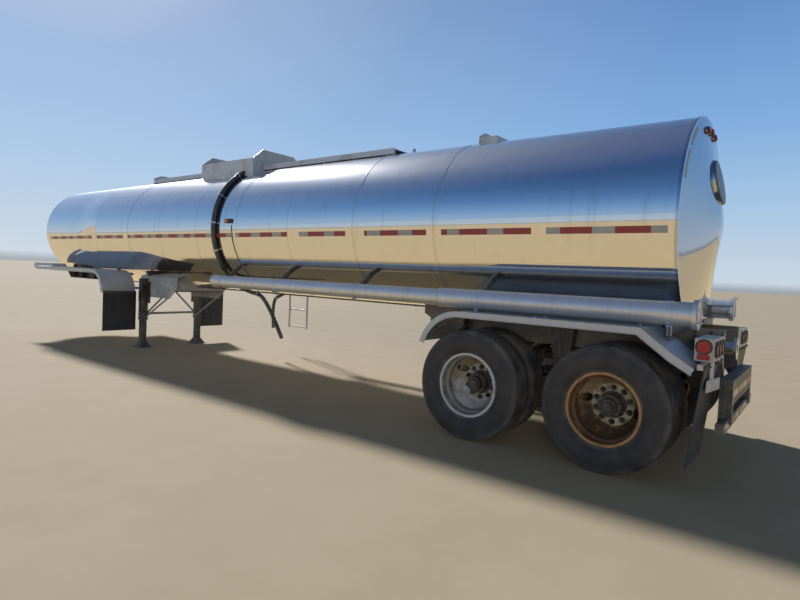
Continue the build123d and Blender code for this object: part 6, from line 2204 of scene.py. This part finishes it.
@dataclass
class CouplerTrim:
    """Gladhands and the lamp socket at the front, on a bracket below the coupler's nose."""

    station: float = 11.470
    height: float = 1.1935
    bracket: Block = Block((0.006, 0.460, 0.077), 0.0015)
    hand_ahead: float = 0.012
    seal_ahead: float = 0.044
    seal: Band = Band(0.012, 0.026, 0.006)
    lug: Block = Block((0.020, 0.030, 0.012), 0.003)
    lug_place: Span = (0.038, 0.040)
    lug_turn: float = -37.0
    socket_ahead: float = 0.003
    cover: Block = Block((0.006, 0.062, 0.066), 0.002)
    cover_place: Point = (0.060, 0.0, 0.004)
    hinge: Points = ((0.056, -0.022, 0.036), (0.056, 0.022, 0.036))
    hinge_radius: float = 0.005
    hands: Span = (0.165, -0.165)
    hand_face: Point = (0.80, 0.0, -0.60)
    hand_body: Pairs = (
        (0.0, 0.0), (0.0, 0.017), (0.018, 0.017), (0.024, 0.034),
        (0.040, 0.036), (0.044, 0.030), (0.044, 0.0),
    )  # fmt: skip
    socket_body: Pairs = (
        (0.0, 0.0), (0.0, 0.040), (0.008, 0.040), (0.008, 0.030),
        (0.052, 0.030), (0.056, 0.027), (0.056, 0.0),
    )  # fmt: skip

    def _hand(self, builder: Builder, seal: Builder, across: float) -> None:
        """Makes one gladhand, facing down and forward.

        Args:
            builder: The piece of its body and locking lug.
            seal: The piece of its seal.
            across: Its distance to the left of the middle.
        """
        face = Vector(self.hand_face)
        middle = spot(self.station + self.hand_ahead, across, self.height)
        builder.lathe(self.hand_body, middle, face, 28)
        seal.ring(middle + face * self.seal_ahead, face, self.seal, 28)
        ahead, across = self.lug_place
        builder.slab(middle + face * ahead + LEFTWARD * across, self.lug, self.lug_turn, "Y")

    def build(self) -> None:
        """Makes the bracket, both gladhands and the socket."""
        builder, seal = Builder("front_connections"), Builder("front_seals")
        builder.slab(spot(self.station, 0, self.height), self.bracket)
        for across in self.hands:
            self._hand(builder, seal, across)
        socket = spot(self.station + self.socket_ahead, 0, self.height)
        builder.lathe(self.socket_body, socket, FORWARD, 28)
        builder.slab(socket + Vector(self.cover_place), self.cover)
        start, end = (socket + Vector(away) for away in self.hinge)
        builder.rod(start, end, self.hinge_radius, 10)
        builder.finish(Shop.nuts)
        seal.finish(Shop.gasket)


# Stage


@dataclass
class Studio:
    """Plain pale floor, soft light and the camera."""

    camera_place: Point = (-7.0384, 5.6475, 1.5082)
    yaw: float = -0.9106
    pitch: float = -0.0447
    roll: float = 0.045
    focal_pixels: float = 558.0
    image_width: int = 800
    far: float = 800.0
    floor_radius: float = 400.0
    floor_colour: Colour = rgb(0.465, 0.365, 0.24)
    floor_patches: Colour = rgb(0.495, 0.395, 0.265)
    # Floor colour that only reflections see: brighter and warmer than the floor, a painted reflection of
    # sunlit ground in the metal.
    floor_painted_reflection: Colour = rgb(0.87, 0.63, 0.335)
    key_from: Point = (1.27, -0.46, 1.0)
    key_power: float = 3.9
    key_angle: float = 5.0
    side_from: Point = (-0.45, 0.90, 0.05)
    side_power: float = 1.35
    side_angle: float = 40.0
    fill: float = 0.12
    fill_colour: Colour = rgb(0.42, 0.75, 1.20)
    sky: tuple[tuple[float, Colour], ...] = (
        (0.0, rgb(0.34, 0.38, 0.42)),
        (0.012, rgb(0.58, 0.67, 0.76)),
        (0.13, rgb(0.38, 0.56, 0.77)),
        (0.25, rgb(0.22, 0.42, 0.73)),
        (0.42, rgb(0.125, 0.275, 0.57)),
        (0.60, rgb(0.075, 0.18, 0.41)),
        (0.80, rgb(0.052, 0.12, 0.30)),
        (1.0, rgb(0.045, 0.10, 0.27)),
    )
    glow: tuple[tuple[float, Colour], ...] = (
        (0.60, rgb(0.0, 0.0, 0.0)),
        (0.85, rgb(0.10, 0.10, 0.10)),
        (0.95, rgb(0.22, 0.22, 0.22)),
        (0.985, rgb(0.42, 0.42, 0.42)),
        (1.0, rgb(0.85, 0.85, 0.85)),
    )

    def camera(self) -> None:
        """Places the camera at the photograph's viewing point."""
        ahead = Vector(
            (
                math.cos(self.yaw) * math.cos(self.pitch),
                math.sin(self.yaw) * math.cos(self.pitch),
                math.sin(self.pitch),
            )
        )
        right = ahead.cross(UP).normalized()
        above = right.cross(ahead)
        right, above = (
            right * math.cos(self.roll) + above * math.sin(self.roll),
            above * math.cos(self.roll) - right * math.sin(self.roll),
        )
        data = bpy.data.cameras.new("camera")
        data.sensor_width = 36.0
        data.lens = self.focal_pixels * data.sensor_width / self.image_width
        data.clip_end = self.far
        camera = bpy.data.objects.new("camera", data)
        turn = Matrix((right, above, -ahead)).transposed().to_4x4()
        camera.matrix_world = Matrix.Translation(self.camera_place) @ turn
        bpy.context.scene.collection.objects.link(camera)
        bpy.context.scene.camera = camera

    def floor(self) -> None:
        """Makes the floor, which isn't part of the object."""
        bm = bmesh.new()
        bmesh.ops.create_circle(bm, cap_ends=True, segments=96, radius=self.floor_radius)
        mesh = bpy.data.meshes.new("floor")
        bm.to_mesh(mesh)
        bm.free()
        floor = bpy.data.objects.new("floor", mesh)
        bpy.context.scene.collection.objects.link(floor)
        material = bpy.data.materials.new("floor")
        material.use_nodes = True
        material.node_tree.nodes.clear()
        graph = Graph(material.node_tree)
        tone = graph.noise(graph.place(), 1.4, 5.0, 0.6)
        colour = graph.blend(graph.step(tone, 0.3, 0.7), self.floor_colour, self.floor_patches)
        path = graph.add("ShaderNodeLightPath")
        # Reflections see the floor in its brighter painted-reflection colour.
        colour = graph.blend(path.outputs["Is Glossy Ray"], colour, self.floor_painted_reflection)
        shader = graph.add("ShaderNodeBsdfPrincipled", {"Base Color": colour, "Roughness": 0.9})
        graph.add("ShaderNodeOutputMaterial", {"Surface": shader.outputs[0]})
        mesh.materials.append(material)

    def _lamp(self, name: str, toward: Point, power: float, angle: float) -> bpy.types.Object:
        """Adds one soft far lamp.

        Args:
            name: Its name.
            toward: Direction from the trailer to the lamp.
            power: Its strength.
            angle: The angle in degrees that it fills.

        Returns:
            The lamp.
        """
        data = bpy.data.lights.new(name, "SUN")
        data.energy = power
        data.angle = math.radians(angle)
        lamp = bpy.data.objects.new(name, data)
        lamp.rotation_mode = "QUATERNION"
        lamp.rotation_quaternion = Vector(toward).to_track_quat("Z", "Y")
        bpy.context.scene.collection.objects.link(lamp)
        return lamp

    def lights(self) -> None:
        """Sets the key lamp, the soft side lamp and the world."""
        self._lamp("key", self.key_from, self.key_power, self.key_angle)
        self._lamp("side", self.side_from, self.side_power, self.side_angle).visible_glossy = False
        world = bpy.data.worlds.new("studio")
        bpy.context.scene.world = world
        world.use_nodes = True
        world.node_tree.nodes.clear()
        graph = Graph(world.node_tree)
        direction = graph.add("ShaderNodeTexCoord").outputs["Generated"]
        sky = graph.ramp(graph.axes(direction)[2], self.sky)
        toward = Vector(self.key_from).normalized()
        dot = graph.add("ShaderNodeVectorMath", {0: direction, 1: tuple(toward)}, operation="DOT_PRODUCT")
        sky = graph.blend(graph.ramp(dot.outputs["Value"], self.glow), sky, rgb(1.0, 1.0, 1.0))
        path = graph.add("ShaderNodeLightPath")
        shown = graph.maths("ADD", path.outputs["Is Camera Ray"], path.outputs["Is Glossy Ray"], clamp=True)
        shown = graph.maths("ADD", shown, path.outputs["Is Transmission Ray"], clamp=True)
        fill = graph.add("ShaderNodeBackground", {"Color": self.fill_colour, "Strength": self.fill})
        seen = graph.add("ShaderNodeBackground", {"Color": sky, "Strength": 1.0})
        mixed = graph.add("ShaderNodeMixShader", {0: shown, 1: fill.outputs[0], 2: seen.outputs[0]})
        graph.add("ShaderNodeOutputWorld", {"Surface": mixed.outputs[0]})

    def build(self) -> None:
        """Sets the stage."""
        bpy.context.scene.view_settings.view_transform = "Standard"
        self.camera()
        self.floor()
        self.lights()


HOSES = (
    DrainHose(
        "free_hose_left",
        (
            (at(5.690), 0.78441, 1.51209),
            (at(5.690), 0.60807, 1.26938),
            (at(5.290), 0.590, 1.160),
            (at(4.920), 0.600, 1.128),
            (at(4.558), 0.600, 0.571),
        ),
        1.66,
    ),
    DrainHose(
        "free_hose_right",
        (
            (at(5.690), -0.78441, 1.51209),
            (at(5.690), -0.57281, 1.22084),
            (at(5.960), -0.590, 1.090),
            (at(6.262), -0.600, 0.985),
            (at(6.195), -0.600, 0.500),
        ),
        1.4,
    ),
)


def main() -> None:
    """Builds the stage, the finishes and every sub-assembly."""
    logging.basicConfig(level=logging.INFO, format="%(name)s: %(message)s")
    Studio().build()
    for hose in HOSES:
        hose.build()
    dress_nodes()
    JacketTape().build()
    for axle in ("front", "rear"):
        for side in Side:
            TyreSet(WheelEnd(axle, side)).build()
            WheelFittings(WheelEnd(axle, side)).build()
    for trim in (TopTrim, SideFittings, TubeTrim, FenderTrim, ChassisTrim):
        trim().build()
    for trim in (RearTrim, LandingTrim, CouplerTrim):
        trim().build()


if __name__ == "__main__":
    main()
